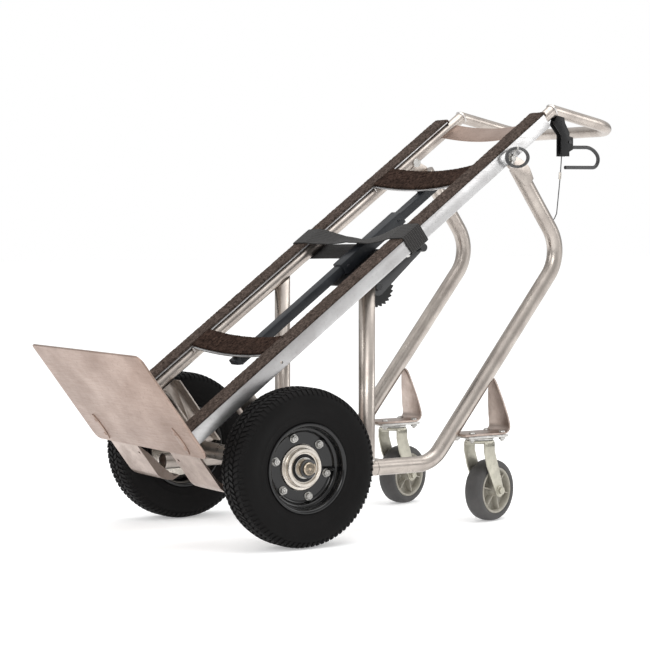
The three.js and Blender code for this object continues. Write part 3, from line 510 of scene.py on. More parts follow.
def copyOf(piece, name, place):
    pick(piece)
    bpy.ops.object.duplicate(linked=False)
    twin = bpy.context.object
    return settle(twin, name, place, smooth=None)


# The other side's twin: turned over across the middle, with its faces put right again
def mirrored(piece, name):
    pick(piece)
    bpy.ops.object.duplicate(linked=False)
    twin = bpy.context.object
    twin.scale.x = -1
    applyPlace()
    editAll(twin)
    bpy.ops.mesh.flip_normals()
    bpy.ops.object.mode_set(mode="OBJECT")
    twin.name = name
    twin.data.name = name
    return twin


# A chain of edges through points in metres, left selected in edit mode
def drawLine(points):
    clearSelection()
    bpy.ops.mesh.primitive_plane_add(size=0.001, location=points[0])
    piece = bpy.context.object
    bpy.ops.object.mode_set(mode="EDIT")
    bpy.ops.mesh.merge(type="CENTER")
    last = Vector(points[0])
    for point in points[1:]:
        step = Vector(point) - last
        extrudeBy(step)
        last = Vector(point)
    bpy.ops.mesh.select_all(action="SELECT")
    return piece


# Flat outline in metres, pulled out by a vector into a plate
def slab(name, outline, pull, bevel=0.0, place=None, segments=2):
    piece = drawLine(outline)
    bpy.ops.mesh.edge_face_add()
    extrudeBy(Vector(pull))
    rightWay(piece)
    if bevel:
        soften(piece, bevel, segments)
    return settle(piece, name, place)


def inYZ(x, points):
    return [Vector((x * mm, y * mm, z * mm)) for y, z in points]


def inXZ(y, points):
    return [Vector((x * mm, y * mm, z * mm)) for x, z in points]


def inXY(z, points):
    return [Vector((x * mm, y * mm, z * mm)) for x, y in points]


def block(name, low, high, bevel=0.6, place=None):
    low, high = Vector(low) * mm, Vector(high) * mm
    clearSelection()
    bpy.ops.mesh.primitive_cube_add(size=1, location=(low + high) / 2)
    piece = bpy.context.object
    piece.scale = high - low
    applyPlace()
    if bevel:
        soften(piece, bevel)
    return settle(piece, name, place)


# Profile of (radius, along) in mm, spun about the X axis and then placed
def turned(name, profile, steps, place=None, smooth=35):
    piece = drawLine([Vector((along * mm, 0, radius * mm)) for radius, along in profile])
    bpy.ops.mesh.spin(steps=steps, angle=2 * math.pi, center=(0, 0, 0), axis=(1, 0, 0))
    rightWay(piece)
    return settle(piece, name, place, smooth)


def arcPoints(centre, radius, start, sweep, steps):
    points = []
    for k in range(steps + 1):
        angle = math.radians(start + sweep * k / steps)
        points.append((centre[0] + radius * math.cos(angle), centre[1] + radius * math.sin(angle)))
    return points


# Half a (radius, along) profile with its mirror image, closed
def bothHalves(half):
    return half + [(r, -x) for r, x in reversed(half)] + [half[0]]


def along(direction, place):
    # turns the X axis to a direction, at a place
    turn = Vector(direction).to_track_quat("X", "Z").to_matrix().to_4x4()
    return Matrix.Translation(Vector(place)) @ turn


def roundBar(name, start, end, radius, steps=28, bevel=0.5):
    start, end = Vector(start), Vector(end)
    length = (end - start).length / mm
    profile = [(0, 0), (radius - bevel, 0), (radius, bevel), (radius, length - bevel),
               (radius - bevel, length), (0, length)]
    return turned(name, profile, steps, along(end - start, start))


openDepth = 12  # how far an open tube end goes in, in mm


# Round tube bent along corner points, with an arc of its own radius at each corner
def bentTube(name, corners, arcs, radius, around=28, arcSteps=10, wall=0.0):
    corners = [Vector(c) for c in corners]
    clearSelection()
    heading = (corners[1] - corners[0]).normalized()
    bpy.ops.mesh.primitive_circle_add(
        vertices=around, radius=radius * mm, fill_type="NOTHING",
        location=corners[0], rotation=heading.to_track_quat("Z", "Y").to_euler())
    tube = bpy.context.object
    bpy.ops.object.mode_set(mode="EDIT")
    here = corners[0]
    for i in range(1, len(corners) - 1):
        ahead = (corners[i + 1] - corners[i]).normalized()
        turnBy = heading.angle(ahead)
        reach = arcs[i - 1] * mm * math.tan(turnBy / 2)
        arcStart = corners[i] - heading * reach
        extrudeBy(arcStart - here)
        axis = heading.cross(ahead).normalized()
        centre = arcStart + axis.cross(heading) * arcs[i - 1] * mm
        bpy.ops.mesh.spin(steps=arcSteps, angle=-turnBy, center=centre, axis=axis)
        here = corners[i] + ahead * reach
        heading = ahead
    extrudeBy(corners[-1] - here)
    bpy.ops.mesh.select_all(action="SELECT")
    bpy.ops.mesh.fill_holes(sides=0)
    bpy.ops.mesh.normals_make_consistent(inside=False)
    if wall:
        for end, pull in ((corners[0], corners[1] - corners[0]), (corners[-1], corners[-2] - corners[-1])):
            bpy.ops.mesh.select_all(action="DESELECT")
            bpy.ops.mesh.select_mode(type="FACE")
            mesh = bmesh.from_edit_mesh(tube.data)
            local = tube.matrix_world.inverted() @ end
            for face in mesh.faces:
                face.select_set(len(face.verts) > 4 and (face.calc_center_median() - local).length < 0.002)
            bmesh.update_edit_mesh(tube.data)
            bpy.ops.mesh.inset(thickness=wall * mm, depth=0)
            inward = pull.normalized() * openDepth * mm
            extrudeBy(inward)
            bpy.ops.mesh.select_mode(type="VERT")
    return settle(tube, name)


# A weld: a rippled bead along a line of places
def weldBead(name, places, size=2.6, ripple=3.2, closed=False):
    clearSelection()
    line = bpy.data.curves.new(name, "CURVE")
    line.dimensions = "3D"
    line.bevel_depth = size * mm
    line.bevel_resolution = 2
    steps = []
    loop = places + [places[0]] if closed else places
    for a, b in zip(loop[:-1], loop[1:]):
        a, b = Vector(a), Vector(b)
        count = max(1, round((b - a).length / (ripple * 0.5 * mm)))
        steps += [a.lerp(b, k / count) for k in range(count)]
    if not closed:
        steps.append(Vector(places[-1]))
    spline = line.splines.new("POLY")
    spline.points.add(len(steps) - 1)
    for k, (point, where) in enumerate(zip(spline.points, steps)):
        point.co = (*where, 1)
        point.radius = 1.0 if k % 2 else 0.72
    spline.use_cyclic_u = closed
    line.use_fill_caps = True
    bead = bpy.data.objects.new(name, line)
    bpy.context.scene.collection.objects.link(bead)
    pick(bead)
    bpy.ops.object.convert(target="MESH")
    bead = bpy.context.object
    return settle(bead, name, smooth=60)


def ringPlaces(centre, axis, radius, count):
    turn = Vector(axis).to_track_quat("Z", "Y").to_matrix()
    places = []
    for k in range(count):
        angle = math.radians(360 * k / count)
        places.append(Vector(centre) + turn @ Vector((math.cos(angle), math.sin(angle), 0)) * radius * mm)
    return places


def cutWith(piece, tool, operation="DIFFERENCE"):
    pick(piece)
    cut = piece.modifiers.new("cut", "BOOLEAN")
    cut.operation = operation
    cut.solver = "EXACT"
    cut.object = tool
    bpy.ops.object.modifier_apply(modifier="cut")
    bpy.data.objects.remove(tool)
    return piece


def wrinkle(piece, size, strength, seed, name):
    # presses a cloud of small lumps into a dense mesh
    lumps = bpy.data.textures.new(f"{name}_{seed}", "CLOUDS")
    lumps.noise_scale = size * mm
    lumps.noise_depth = 2
    pick(piece)
    push = piece.modifiers.new("push", "DISPLACE")
    push.texture = lumps
    push.texture_coords = "LOCAL"
    push.strength = strength * mm
    push.mid_level = 0.5
    bpy.ops.object.modifier_apply(modifier="push")


def wearing(piece, body, material, nodes=()):
    paint(piece, finish[material])
    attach(piece, body)
    if nodes:
        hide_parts(*nodes)
    return piece


# The near piece and its mirror image, each in place of its own node
def wearBoth(piece, body, material, node):
    twin = mirrored(piece, piece.name[:-1] + "l")
    wearing(piece, body, material, [f"{node}_r"])
    wearing(twin, body, material, [f"{node}_l"])


# Toe plate
toeLook = {"half": 238, "tip": 194.5, "heel": -53, "thick": 4.8, "edge": 1.1, "padX": 172}
half, tip, heel = toeLook["half"], toeLook["tip"], toeLook["heel"]
toeOutline = [(-half, tip - 4), (-half + 1.5, tip - 1), (-half + 4, tip), (half - 16, tip),
              (half - 8, tip - 3),
              (half - 2, tip - 9), (half, tip - 15), (half, heel + 16), (half - 2, heel + 9),
              (half - 6, heel + 4),
              (half - 16, heel), (-half + 16, heel), (-half + 6, heel + 4), (-half + 2, heel + 9),
              (-half, heel + 16)]
toePlate = slab("toe_plate_skin", inXZ(0, toeOutline), (0, toeLook["thick"] * mm, 0), toeLook["edge"],
                railMatrix, 3)
toeParts = [toePlate]
for side in (-1, 1):
    padX = side * toeLook["padX"]
    pad = []
    for k in range(28):
        angle = 2 * math.pi * k / 28
        bulge = math.copysign(abs(math.cos(angle)) ** 1.4, math.cos(angle))
        pad.append((padX + 10 * bulge, -14 + 33 * math.sin(angle)))
    toeParts.append(slab("toe_pad", inXZ(0.5, pad), (0, -2.1 * mm, 0), 0.5, railMatrix))
    for out in (-32, 4):
        rivet = turned("toe_rivet", [(0, 0), (4.4, 0), (4.2, 0.9), (3.2, 1.9), (1.6, 2.5), (0, 2.7)], 18,
                       railMatrix @ along((0, -1, 0), (padX * mm, -1.2 * mm, out * mm)))
        toeParts.append(rivet)
wearing(joinPieces(toeParts, "toe_plate_skin"), "chassis", "plate", ["toe_plate"])

# Rails
railLook = {"outer": 196.4, "inner": 152, "top": -5.3, "web": -35.5, "sheet": 3, "foot": 5.1, "end": 1072,
            "tubeX": 164, "tubeV": -24.2, "tubeR": 12.7, "tubeEnd": 1122}
outer, inner = railLook["outer"], railLook["inner"]
railShape = [(inner, railLook["top"]), (outer, railLook["top"]), (outer, railLook["web"]),
             (outer - railLook["sheet"], railLook["web"]), (outer - railLook["sheet"], railLook["top"] - 3),
             (inner, railLook["top"] - 3)]
rail = slab("rail_angle_skin_r", inXZ(railLook["foot"], railShape),
            (0, (railLook["end"] - railLook["foot"]) * mm, 0), 0.7, None)
for place, radius in (((255, -23), 3.2), ((948, -30), 6.4)):
    drill = roundBar("drill", (180 * mm, place[0] * mm, place[1] * mm),
                     (210 * mm, place[0] * mm, place[1] * mm),
                     radius, 20, 0.1)
    cutWith(rail, drill)
settle(rail, "rail_angle_skin_r", railMatrix)
wearBoth(rail, "chassis", "rail", "rail_angle")
tube = bentTube("rail_tube_skin_r", [onRail(railLook["tubeX"], railLook["foot"], railLook["tubeV"]),
                                     onRail(railLook["tubeX"], railLook["tubeEnd"], railLook["tubeV"])],
                [], railLook["tubeR"], 32, wall=2.5)
wearBoth(tube, "chassis", "pipe", "rail_tube")


# Carpet strip: its edge is drawn and pulled long, then cut fine and lumped
def carpetStrip(name, profile, pull, voxel, place, size, strength, seed):
    strip = drawLine(profile)
    bpy.ops.mesh.edge_face_add()
    extrudeBy(Vector(pull))
    rightWay(strip)
    settle(strip, name, None, None)
    remesh = strip.modifiers.new("fine", "REMESH")
    remesh.mode = "VOXEL"
    remesh.voxel_size = voxel * mm
    bpy.ops.object.modifier_apply(modifier="fine")
    wrinkle(strip, size, strength, seed, name)
    return settle(strip, name, place, 180)


carpetLook = {"thick": 5, "voxel": 1.25, "lump": 3.2, "depth": 2.0}
carpetEdge = [(5.1, 0), (1073.3, 0), (1076.3, -1.6), (1077.3, -4.5), (1077.3, -11), (1072.6, -11),
              (1072.3, -carpetLook["thick"]), (5.1, -carpetLook["thick"])]
strip = carpetStrip("rail_carpet_skin_r", inYZ(inner + 0.3, carpetEdge), ((outer - inner - 0.7) * mm, 0, 0),
                    carpetLook["voxel"], railMatrix, carpetLook["lump"], carpetLook["depth"], 1)
wearBoth(strip, "chassis", "railCarpet", "rail_carpet")
print("toe plate and rails ready")


# Bowed cross bars
def bowLine(halfWidth, front, bow, steps):
    line = []
    for k in range(steps + 1):
        x = -halfWidth + 2 * halfWidth * k / steps
        line.append((x, front - bow * (1 - (x / halfWidth) ** 2)))
    return line


def bowedBar(name, halfWidth, low, high, front, thick, bow):
    shape = bowLine(halfWidth, front, bow, 28)
    back = [(x, v - thick) for x, v in reversed(shape)]
    return slab(name, inXZ(low, shape + back), (0, (high - low) * mm, 0), 0.7, railMatrix)


barLook = {"half": 151.7, "front": -6.3, "bow": 12, "sheet": 3, "carpet": 5}
for seed, (name, low, high) in enumerate((("lower_bar", 254, 310), ("upper_bar", 823, 888))):
    bar = bowedBar(f"{name}_skin", barLook["half"], low, high, barLook["front"], barLook["sheet"],
                   barLook["bow"])
    wearing(bar, "chassis", "rail", [name])
    edge = bowLine(barLook["half"], -1, barLook["bow"], 24)
    under = [(x, v - barLook["carpet"]) for x, v in reversed(edge)]
    pile = carpetStrip(f"{name}_carpet_skin", inXZ(low + 4, edge + under), (0, (high - low - 4) * mm, 0),
                       carpetLook["voxel"], railMatrix, 3.0, 2.4, 5 + seed)
    wearing(pile, "chassis", "barCarpet", [f"{name}_carpet"])
topBar = bowedBar("top_bar_skin", 151, 1040, 1088, -25, 3, 16)
wearing(topBar, "chassis", "plate", ["top_bar"])

# Handle, legs, posts and the lower tubes
pipeLook = {"radius": 16.7, "x": 165, "bottom": 132, "post": 212, "front": -80, "rear": 231}
handleStart = onRail(railLook["tubeX"], 1117, railLook["tubeV"])
handleRear = fromAxle(railLook["tubeX"], 865, 831)
handleRearFar = fromAxle(-railLook["tubeX"], 865, 831)
handleEnd = onRail(-railLook["tubeX"], 1117, railLook["tubeV"])
handle = bentTube("handle_loop_skin", [handleStart, handleRear, handleRearFar, handleEnd], [58, 58],
                  railLook["tubeR"], 32, 14)
wearing(handle, "chassis", "pipe", ["handle_loop"])

pipeX, floorTube = pipeLook["x"], pipeLook["bottom"]
leg = bentTube("caster_leg_skin_r", [fromAxle(pipeX, 590, 746), fromAxle(pipeX, 715, 565.3),
                                     fromAxle(pipeX, 372.5, floorTube), fromAxle(pipeX, 232, floorTube)],
               [85, 70], pipeLook["radius"], 36, 14)
pivotPlace = onRail(0, 948, -30)
pivotY, pivotZ = (pivotPlace.y - axlePlace.y) / mm, pivotPlace.z / mm
lugShape = [(pivotY - 13, pivotZ + 2), (pivotY - 11, pivotZ + 8), (pivotY - 6, pivotZ + 12),
            (pivotY, pivotZ + 13.5),
            (pivotY + 6, pivotZ + 12.5), (600, 757), (612, 744), (622, 722), (612, 709), (600, 706),
            (574, 730),
            (pivotY - 9, pivotZ - 10), (pivotY - 12, pivotZ - 5)]
axleShift = Matrix.Translation((0, axlePlace.y, 0))
lug = slab("leg_lug", inYZ(179, lugShape), (5 * mm, 0, 0), 0.9, axleShift)
leg = joinPieces([leg, lug], "caster_leg_skin_r")
wearBoth(leg, "caster_frame", "pipe", "caster_leg")
post = bentTube("post_skin_r", [fromAxle(pipeX, pipeLook["post"], floorTube + 6),
                                fromAxle(pipeX, pipeLook["post"], 600)],
                [], pipeLook["radius"], 36)
editAll(post)
bpy.ops.mesh.bisect(plane_co=onRail(0, 0, -35.9), plane_no=outOfRail, clear_outer=True, use_fill=True)
bpy.ops.object.mode_set(mode="OBJECT")
wearBoth(post, "chassis", "pipe", "post")
bottom = bentTube("bottom_tube_skin_r", [fromAxle(pipeX, pipeLook["front"], floorTube),
                                         fromAxle(pipeX, pipeLook["rear"], floorTube)], [],
                                         pipeLook["radius"], 36, wall=3.4)
wearBoth(bottom, "chassis", "pipe", "bottom_tube")
axleTube = bentTube("axle_tube_skin", [fromAxle(-148, 0, axleHeight), fromAxle(148, 0, axleHeight)], [],
                    pipeLook["radius"], 36, wall=3.2)
wearing(axleTube, "chassis", "pipe", ["axle_tube"])
crossTube = bentTube("leg_cross_skin", [fromAxle(-150, 264, floorTube), fromAxle(150, 264, floorTube)],
                     [], railLook["tubeR"], 32)
wearing(crossTube, "caster_frame", "pipe", ["leg_cross_tube"])
print("bars, handle, legs and tubes ready")

# Big wheels, made about the origin with the outside towards +X
tyreLook = {"around": 96, "blocks": 84, "rowAt": (-24, -8, 8, 24), "rowWide": 13.4, "blockLong": 8.4,
            "skew": 24}
tyreHalf = [(81.2, 30.6), (84, 32.2), (88.6, 32.6), (90, 34.4), (92.4, 35.4), (94, 35), (97, 36),
            (104, 39.2),
            (106, 40.4), (107.5, 40.2), (116, 42.6), (125, 43.6), (133, 43.4), (139, 42.2), (143.6, 40),
            (147.4, 36.8), (150.4, 32.4), (152, 27), (152.8, 18), (153.2, 8)]
tyreProfile = bothHalves(tyreHalf)


def repeatRound(piece, name, count, smooth=30):
    editAll(piece)
    bpy.ops.mesh.spin(steps=count, angle=2 * math.pi, dupli=True, center=(0, 0, 0), axis=(1, 0, 0))
    bpy.ops.mesh.select_all(action="SELECT")
    bpy.ops.mesh.remove_doubles(threshold=0.00001)
    return settle(piece, name, smooth=smooth)


def treadBlock(x, skew, shift):
    clearSelection()
    bpy.ops.mesh.primitive_cube_add(size=1, location=(x * mm, 0, 153.6 * mm))
    knob = bpy.context.object
    knob.scale = (tyreLook["rowWide"] * mm, tyreLook["blockLong"] * mm, 5.2 * mm)
    applyPlace()
    for vertex in knob.data.vertices:
        vertex.co.y += (vertex.co.x / mm - x) * math.tan(math.radians(skew)) * mm
    for vertex in knob.data.vertices:
        if vertex.co.z > 0.153:
            vertex.co.x = x * mm + (vertex.co.x - x * mm) * 0.86
            vertex.co.y *= 0.84
            out = abs(vertex.co.x) / mm
            vertex.co.z = (155.8 if out < 20 else 154.6 if out < 26 else 153.4) * mm
    editAll(knob)
    bpy.ops.transform.rotate(value=math.radians(shift), orient_axis="X", center_override=(0, 0, 0))
    bpy.ops.object.mode_set(mode="OBJECT")
    return repeatRound(knob, "tread_row", tyreLook["blocks"], smooth=None)


def shoulderBar(side):
    shape = [(143.2, 38.5), (143.8, 41.6), (148.4, 38.4), (151.8, 34.2), (153.3, 30.6), (150, 29)]
    bar = drawLine([Vector((side * x * mm, -2.1 * mm, r * mm)) for r, x in shape])
    bpy.ops.mesh.edge_face_add()
    extrudeBy((0, 4.2 * mm, 0))
    rightWay(bar)
    return repeatRound(settle(bar, "shoulder_bar", smooth=None), "shoulder_row", tyreLook["blocks"],
                       smooth=None)


def makeTyre():
    parts = [turned("tyre_carcass", tyreProfile, tyreLook["around"], smooth=50)]
    for row, x in enumerate(tyreLook["rowAt"]):
        step = 360 / tyreLook["blocks"]
        parts.append(treadBlock(x, tyreLook["skew"] * (1 if row % 2 else -1), step * 0.5 * (row % 2)))
    parts += [shoulderBar(1), shoulderBar(-1)]
    return joinPieces(parts, "tyre_skin")


rimProfile = [(45.6, 9.3), (64, 9.3), (67, 9.6), (69.4, 11), (71, 13.6), (72, 16.4), (74, 18), (76.8, 18.4),
              (78.2, 20), (78.8, 24), (79.3, 29), (80.6, 33), (82.6, 35.4), (85.2, 36.4), (87.6, 35.8),
              (88.8, 33.8), (88.2, 32.2), (83, 31), (80.4, 28), (80.2, -28), (83, -31), (88.2, -32.2),
              (88.8, -33.8), (87.6, -35.8), (85.2, -36.4), (82.6, -35.4), (80.6, -33), (79, -28),
              (77.4, -20),
              (76.4, 0), (75, 4), (72, 5.4), (45.6, 5.4), (45.6, 9.3)]
hubProfile = [(13.4, -39.5), (22.8, -39.5), (24, -38.3), (24, -2), (25.5, 0.4), (67, 0.4), (67.4, 1),
              (67.4, 4.6),
              (67, 5.1), (45.2, 5.1), (44.4, 6), (44.4, 11.6), (43.6, 12.4), (38.6, 12.6), (37.6, 13.4),
              (37.4, 24.2), (36.6, 25.2), (31.2, 25.2), (30.2, 24.4), (30, 21.6), (27.4, 21.4),
              (27.2, 19.2),
              (20.4, 19.2), (20.2, 21), (13.4, 21), (13.4, -39.5)]
lugLook = {"circle": 59, "count": 6, "phase": 46}


def lugNut():
    washer = turned("lug", [(0, 9.4), (8.2, 9.4), (8.6, 9.8), (8.6, 10.6), (8.2, 11), (0, 11)], 24)
    hexagon = turned("lug", [(0, 11), (6.6, 11), (7.2, 11.7), (7.2, 15.6), (6.3, 16.6), (4.3, 16.6),
                             (3.9, 16), (0, 16)], 6, smooth=20)
    stud = turned("lug", [(0, 12), (3.8, 12), (3.8, 17.6), (3.1, 18.4), (2.2, 18.4), (1.9, 16.6),
                          (0, 16.6)], 16)
    return joinPieces([washer, hexagon, stud], "lug_nut")


def snapRing():
    ring = arcPoints((0, 0), 1, 62, 236, 24)
    first, last = ring[0], ring[-1]
    outline = [(12.9 * c, 12.9 * s) for c, s in ring]
    outline.append((18.4 * last[0] + 1.6, 18.4 * last[1]))
    outline += [(17.2 * c, 17.2 * s) for c, s in reversed(ring)][1:-1]
    outline.append((18.4 * first[0] + 1.6, 18.4 * first[1]))
    return slab("snap_ring", inYZ(24.6, outline), (1.7 * mm, 0, 0), 0.3)


tyreModel = makeTyre()
rimModel = turned("rim_skin", rimProfile, 96, smooth=40)
hubModel = turned("hub_skin", hubProfile, 64)
nutModels = []
for k in range(lugLook["count"]):
    angle = math.radians(lugLook["phase"] + 360 * k / lugLook["count"])
    place = shift(0, lugLook["circle"] * math.cos(angle), lugLook["circle"] * math.sin(angle))
    single = lugNut()
    nutModels.append(settle(single, "lug_nut", place @ Matrix.Rotation(0.3 * k, 4, "X"), smooth=None))
nutModel = joinPieces(nutModels, "lug_nuts")
valveModel = turned("valve_stem", [(0, 10), (4.4, 10), (4.4, 12), (3.4, 14), (3.2, 22), (2.6, 23),
                                   (2.6, 29), (1.8, 30),
                                   (0, 30)], 20, shift(0, 66, -6) @ Matrix.Rotation(-0.12, 4, "Z"))
bearingModel = turned("bearing_seal", [(20.4, 19.3), (27.2, 19.3), (27.2, 20.4), (26.4, 20.8), (21.2, 20.8),
                                       (20.4, 20.4), (20.4, 19.3)], 48)
washerModel = turned("axle_washer", [(12.9, 21.2), (20.6, 21.2), (21, 21.6), (21, 23.4), (20.6, 23.8),
                                     (12.9, 23.8), (12.9, 21.2)], 40)
clipModel = snapRing()
tipModel = turned("axle_end", [(0, 20), (12.7, 20), (12.7, 41.4), (11.2, 43), (2.8, 43), (2, 42),
                               (0, 41.8)], 40)
wheelParts = [(tyreModel, "tyre", "tyre_rubber", True), (rimModel, "rim", "rim_gloss", True),
              (hubModel, "machined", "steel_machined", True), (nutModel, "zinc", "steel_zinc", True),
              (valveModel, "blackSteel", "steel_black", True),
              (bearingModel, "blackSteel", "steel_black", True),
              (washerModel, "zinc", "steel_zinc", False), (clipModel, "darkSteel", "steel_black", False),
              (tipModel, "axleEnd", "steel_zinc", False)]
wheelX = 246  # middle of the tyre, in mm
standsFor = {"tyre_skin": "tyre", "rim_skin": "rim", "hub_skin": "hub"}
for tag, side in sides:
    place = fromAxle(wheelX * side, 0, axleHeight)
    turn = Matrix.Identity(4) if side > 0 else Matrix.Rotation(math.pi, 4, "Z")
    for model, material, slotName, spins in wheelParts:
        base = model.name.split(".")[0]
        twin = copyOf(model, f"{base}_{tag}", Matrix.Translation(place) @ turn)
        nodes = [f"{standsFor[base]}_{tag}"] if base in standsFor else []
        wearing(twin, f"wheel_{tag}" if spins else "chassis", material, nodes)
for model, *rest in wheelParts:
    bpy.data.objects.remove(model)
print("big wheels ready")

# Casters, made about the swivel axis at floor level, then turned and placed
casterLook = {"x": 162, "y": 498, "radius": 65, "trail": 35, "turn": 16}
trail, casterR = casterLook["trail"], casterLook["radius"]
casterWheelPlace = shift(0, trail, casterR)
treadHalf = [(49, 19.6), (52, 20.4), (57, 20.2), (60.4, 18.4), (62.8, 15), (64.3, 9.5), (65, 3)]
treadProfile = bothHalves(treadHalf)
coreHalf = [(6, 23.4), (11, 23.4), (12.4, 22.4), (13, 20), (14, 6), (17, 3.4), (38, 3), (41, 5), (43, 16.5),
            (43.6, 18.8), (45, 20), (47.4, 20), (48.6, 18.8)]
coreProfile = bothHalves(coreHalf)


def makeCore():
    parts = [turned("core", coreProfile, 64)]
    for k in range(6):
        rib = block("rib", (-16.5, -1.4, 11.5), (16.5, 1.4, 43.6), 0.7)
        parts.append(settle(rib, "rib", Matrix.Rotation(2 * math.pi * k / 6 + 0.3, 4, "X"), smooth=None))
    return settle(joinPieces(parts, "caster_core_skin"), "caster_core_skin", casterWheelPlace, smooth=None)


def hexNut(radius, thick, place, hole=0.0):
    return turned("nut", [(hole, 0), (radius - 0.8, 0), (radius, 0.8), (radius, thick - 0.8),
                          (radius - 0.8, thick),
                          (hole, thick)] + ([(hole, 0)] if hole else []), 6, place, smooth=20)


def makeFork():
    legShape = [(-17, 168), (-17.4, 150), (-8, 118)] + arcPoints((trail, casterR), 13.6, 196, 196, 16)
    legShape += [(30, 118), (17.4, 150), (17, 168)]
    parts = []
    for x in (-28, 24.6):
        parts.append(slab("fork_leg", inYZ(x, legShape), (3.4 * mm, 0, 0), 0.8))
    crownShape = [(-28, 160), (-28, 167), (-27, 170.4), (-24, 172.6), (-20, 173), (20, 173), (24, 172.6),
                  (27, 170.4), (28, 167), (28, 160), (24.6, 160), (24.2, 166), (21, 169), (-21, 169),
                  (-24.2, 166), (-24.6, 160)]
    crown = slab("fork_crown", inXZ(-17, crownShape), (0, 34 * mm, 0), 0.7)
    race = turned("fork_race", [(0, 167), (26, 167), (29, 168.4), (30.4, 170.4), (30.4, 172.8),
                                (29.6, 173.5), (0, 173.5)],
                  56, Matrix.Rotation(-math.pi / 2, 4, "Y"))
    parts += [crown, race]
    parts.append(settle(roundBar("pin", (-33 * mm, 0, 0), (35 * mm, 0, 0), 4.8, 20), "pin",
                        casterWheelPlace))
    for side in (-1, 1):
        flip = Matrix.Identity(4) if side > 0 else Matrix.Rotation(math.pi, 4, "Z")
        lift = casterWheelPlace @ flip @ shift(28.1, 0, 0)
        parts.append(turned("washer", [(0, 0), (10.6, 0), (10.6, 1.4), (10, 1.8), (0, 1.8)], 32, lift))
        parts.append(hexNut(8.4, 5.4, lift @ shift(1.8, 0, 0) @ Matrix.Rotation(0.35, 4, "X")))
    return joinPieces(parts, "caster_fork_skin")


boltAt = [(dx, dy) for dx in (-27, 27) for dy in (-39, 39)]


def makePlate():
    shape = []
    for cx, cy, start in ((29, 46, 0), (-29, 46, 90), (-29, -46, 180), (29, -46, 270)):
        shape += arcPoints((cx, cy), 6, start, 90, 5)
    parts = [slab("plate", inXY(180, shape), (0, 0, 4.7 * mm), 0.7)]
    up = Matrix.Rotation(-math.pi / 2, 4, "Y")
    parts.append(turned("plate_race", [(0, 174.1), (27, 174.1), (29.4, 175), (30, 177), (28.6, 179),
                                       (27.6, 180.4), (0, 180.4)], 56, up))
    for dx, dy in boltAt:
        stand = shift(dx, dy, 0)
        parts.append(hexNut(7.2, 5, stand @ shift(0, 0, 175) @ up))
        parts.append(turned("bolt", [(0, 171.5), (3.2, 171.5), (3.9, 172.3), (3.9, 190), (0, 190)], 16,
                            stand @ up))
        parts.append(turned("bolt_head", [(0, 190.1), (7, 190.1), (7, 191), (6, 193), (3.4, 194.4),
                                          (0, 194.8)], 24,
                            stand @ up))
    return joinPieces(parts, "caster_plate_skin")


def makeBracket():
    bend = [(436, 187.5), (470, 187.5), (500, 187.5), (524, 187.5), (536, 187.7), (543.5, 189.4),
            (548.5, 193.6),
            (551, 199.5), (550.6, 207), (545.5, 232), (537, 270), (529, 307)]
    top, under = [], []
    for k, (y, z) in enumerate(bend):
        y0, z0 = bend[max(k - 1, 0)]
        y1, z1 = bend[min(k + 1, len(bend) - 1)]
        size = math.hypot(y1 - y0, z1 - z0)
        ny, nz = -(z1 - z0) / size * 2.2, (y1 - y0) / size * 2.2
        top.append((y + ny - casterLook["y"], z + nz))
        under.append((y - ny - casterLook["y"], z - nz))
    plate = slab("bracket", inYZ(-40, top + under[::-1]), (80 * mm, 0, 0))
    taper = [(-35, 170), (35, 170), (35, 205), (33, 222), (28.6, 242), (22.6, 264), (15.6, 286), (11, 297),
             (5, 303.5), (-5, 303.5), (-11, 297), (-15.6, 286), (-22.6, 264), (-28.6, 242), (-33, 222),
             (-35, 205)]
    mould = slab("mould", inXZ(-120, taper), (0, 240 * mm, 0))
    cutWith(plate, mould, "INTERSECT")
    soften(plate, 0.9, 2, 50)
    return settle(plate, "caster_bracket_skin", smooth=40)


treadModel = turned("caster_tread_skin", treadProfile, 80, casterWheelPlace, smooth=50)
coreModel = makeCore()
forkModel = makeFork()
plateModel = makePlate()
bracketModel = makeBracket()
dustRing = turned("race_seal", [(24, 173.2), (27.6, 173.2), (27.6, 174.6), (24, 174.6), (24, 173.2)], 48,
                  Matrix.Rotation(-math.pi / 2, 4, "Y"))
casterParts = [(treadModel, "tread", "caster_rubber", "caster_wheel", "caster_tread", True),
               (coreModel, "core", "caster_core", "caster_wheel", "caster_core", True),
               (forkModel, "fork", "fork_zinc", "swivel", "caster_fork", True),
               (dustRing, "darkSteel", "steel_black", "swivel", None, True),
               (plateModel, "zinc", "steel_zinc", "caster_frame", "caster_plate", False),
               (bracketModel, "bracket", "steel_zinc", "caster_frame", "caster_bracket", False)]
for tag, side in sides:
    stand = Matrix.Translation(fromAxle(casterLook["x"] * side, casterLook["y"], 0))
    swung = stand @ Matrix.Rotation(math.radians(casterLook["turn"]), 4, "Z")
    for model, material, slotName, body, node, swings in casterParts:
        base = model.name.split(".")[0]
        twin = copyOf(model, f"{base}_{tag}", swung if swings else stand)
        bodyName = body if body == "caster_frame" else f"{body}_{tag}"
        wearing(twin, bodyName, material, [f"{node}_{tag}"] if node else [])
for model, *rest in casterParts:
    bpy.data.objects.remove(model)
print("casters ready")

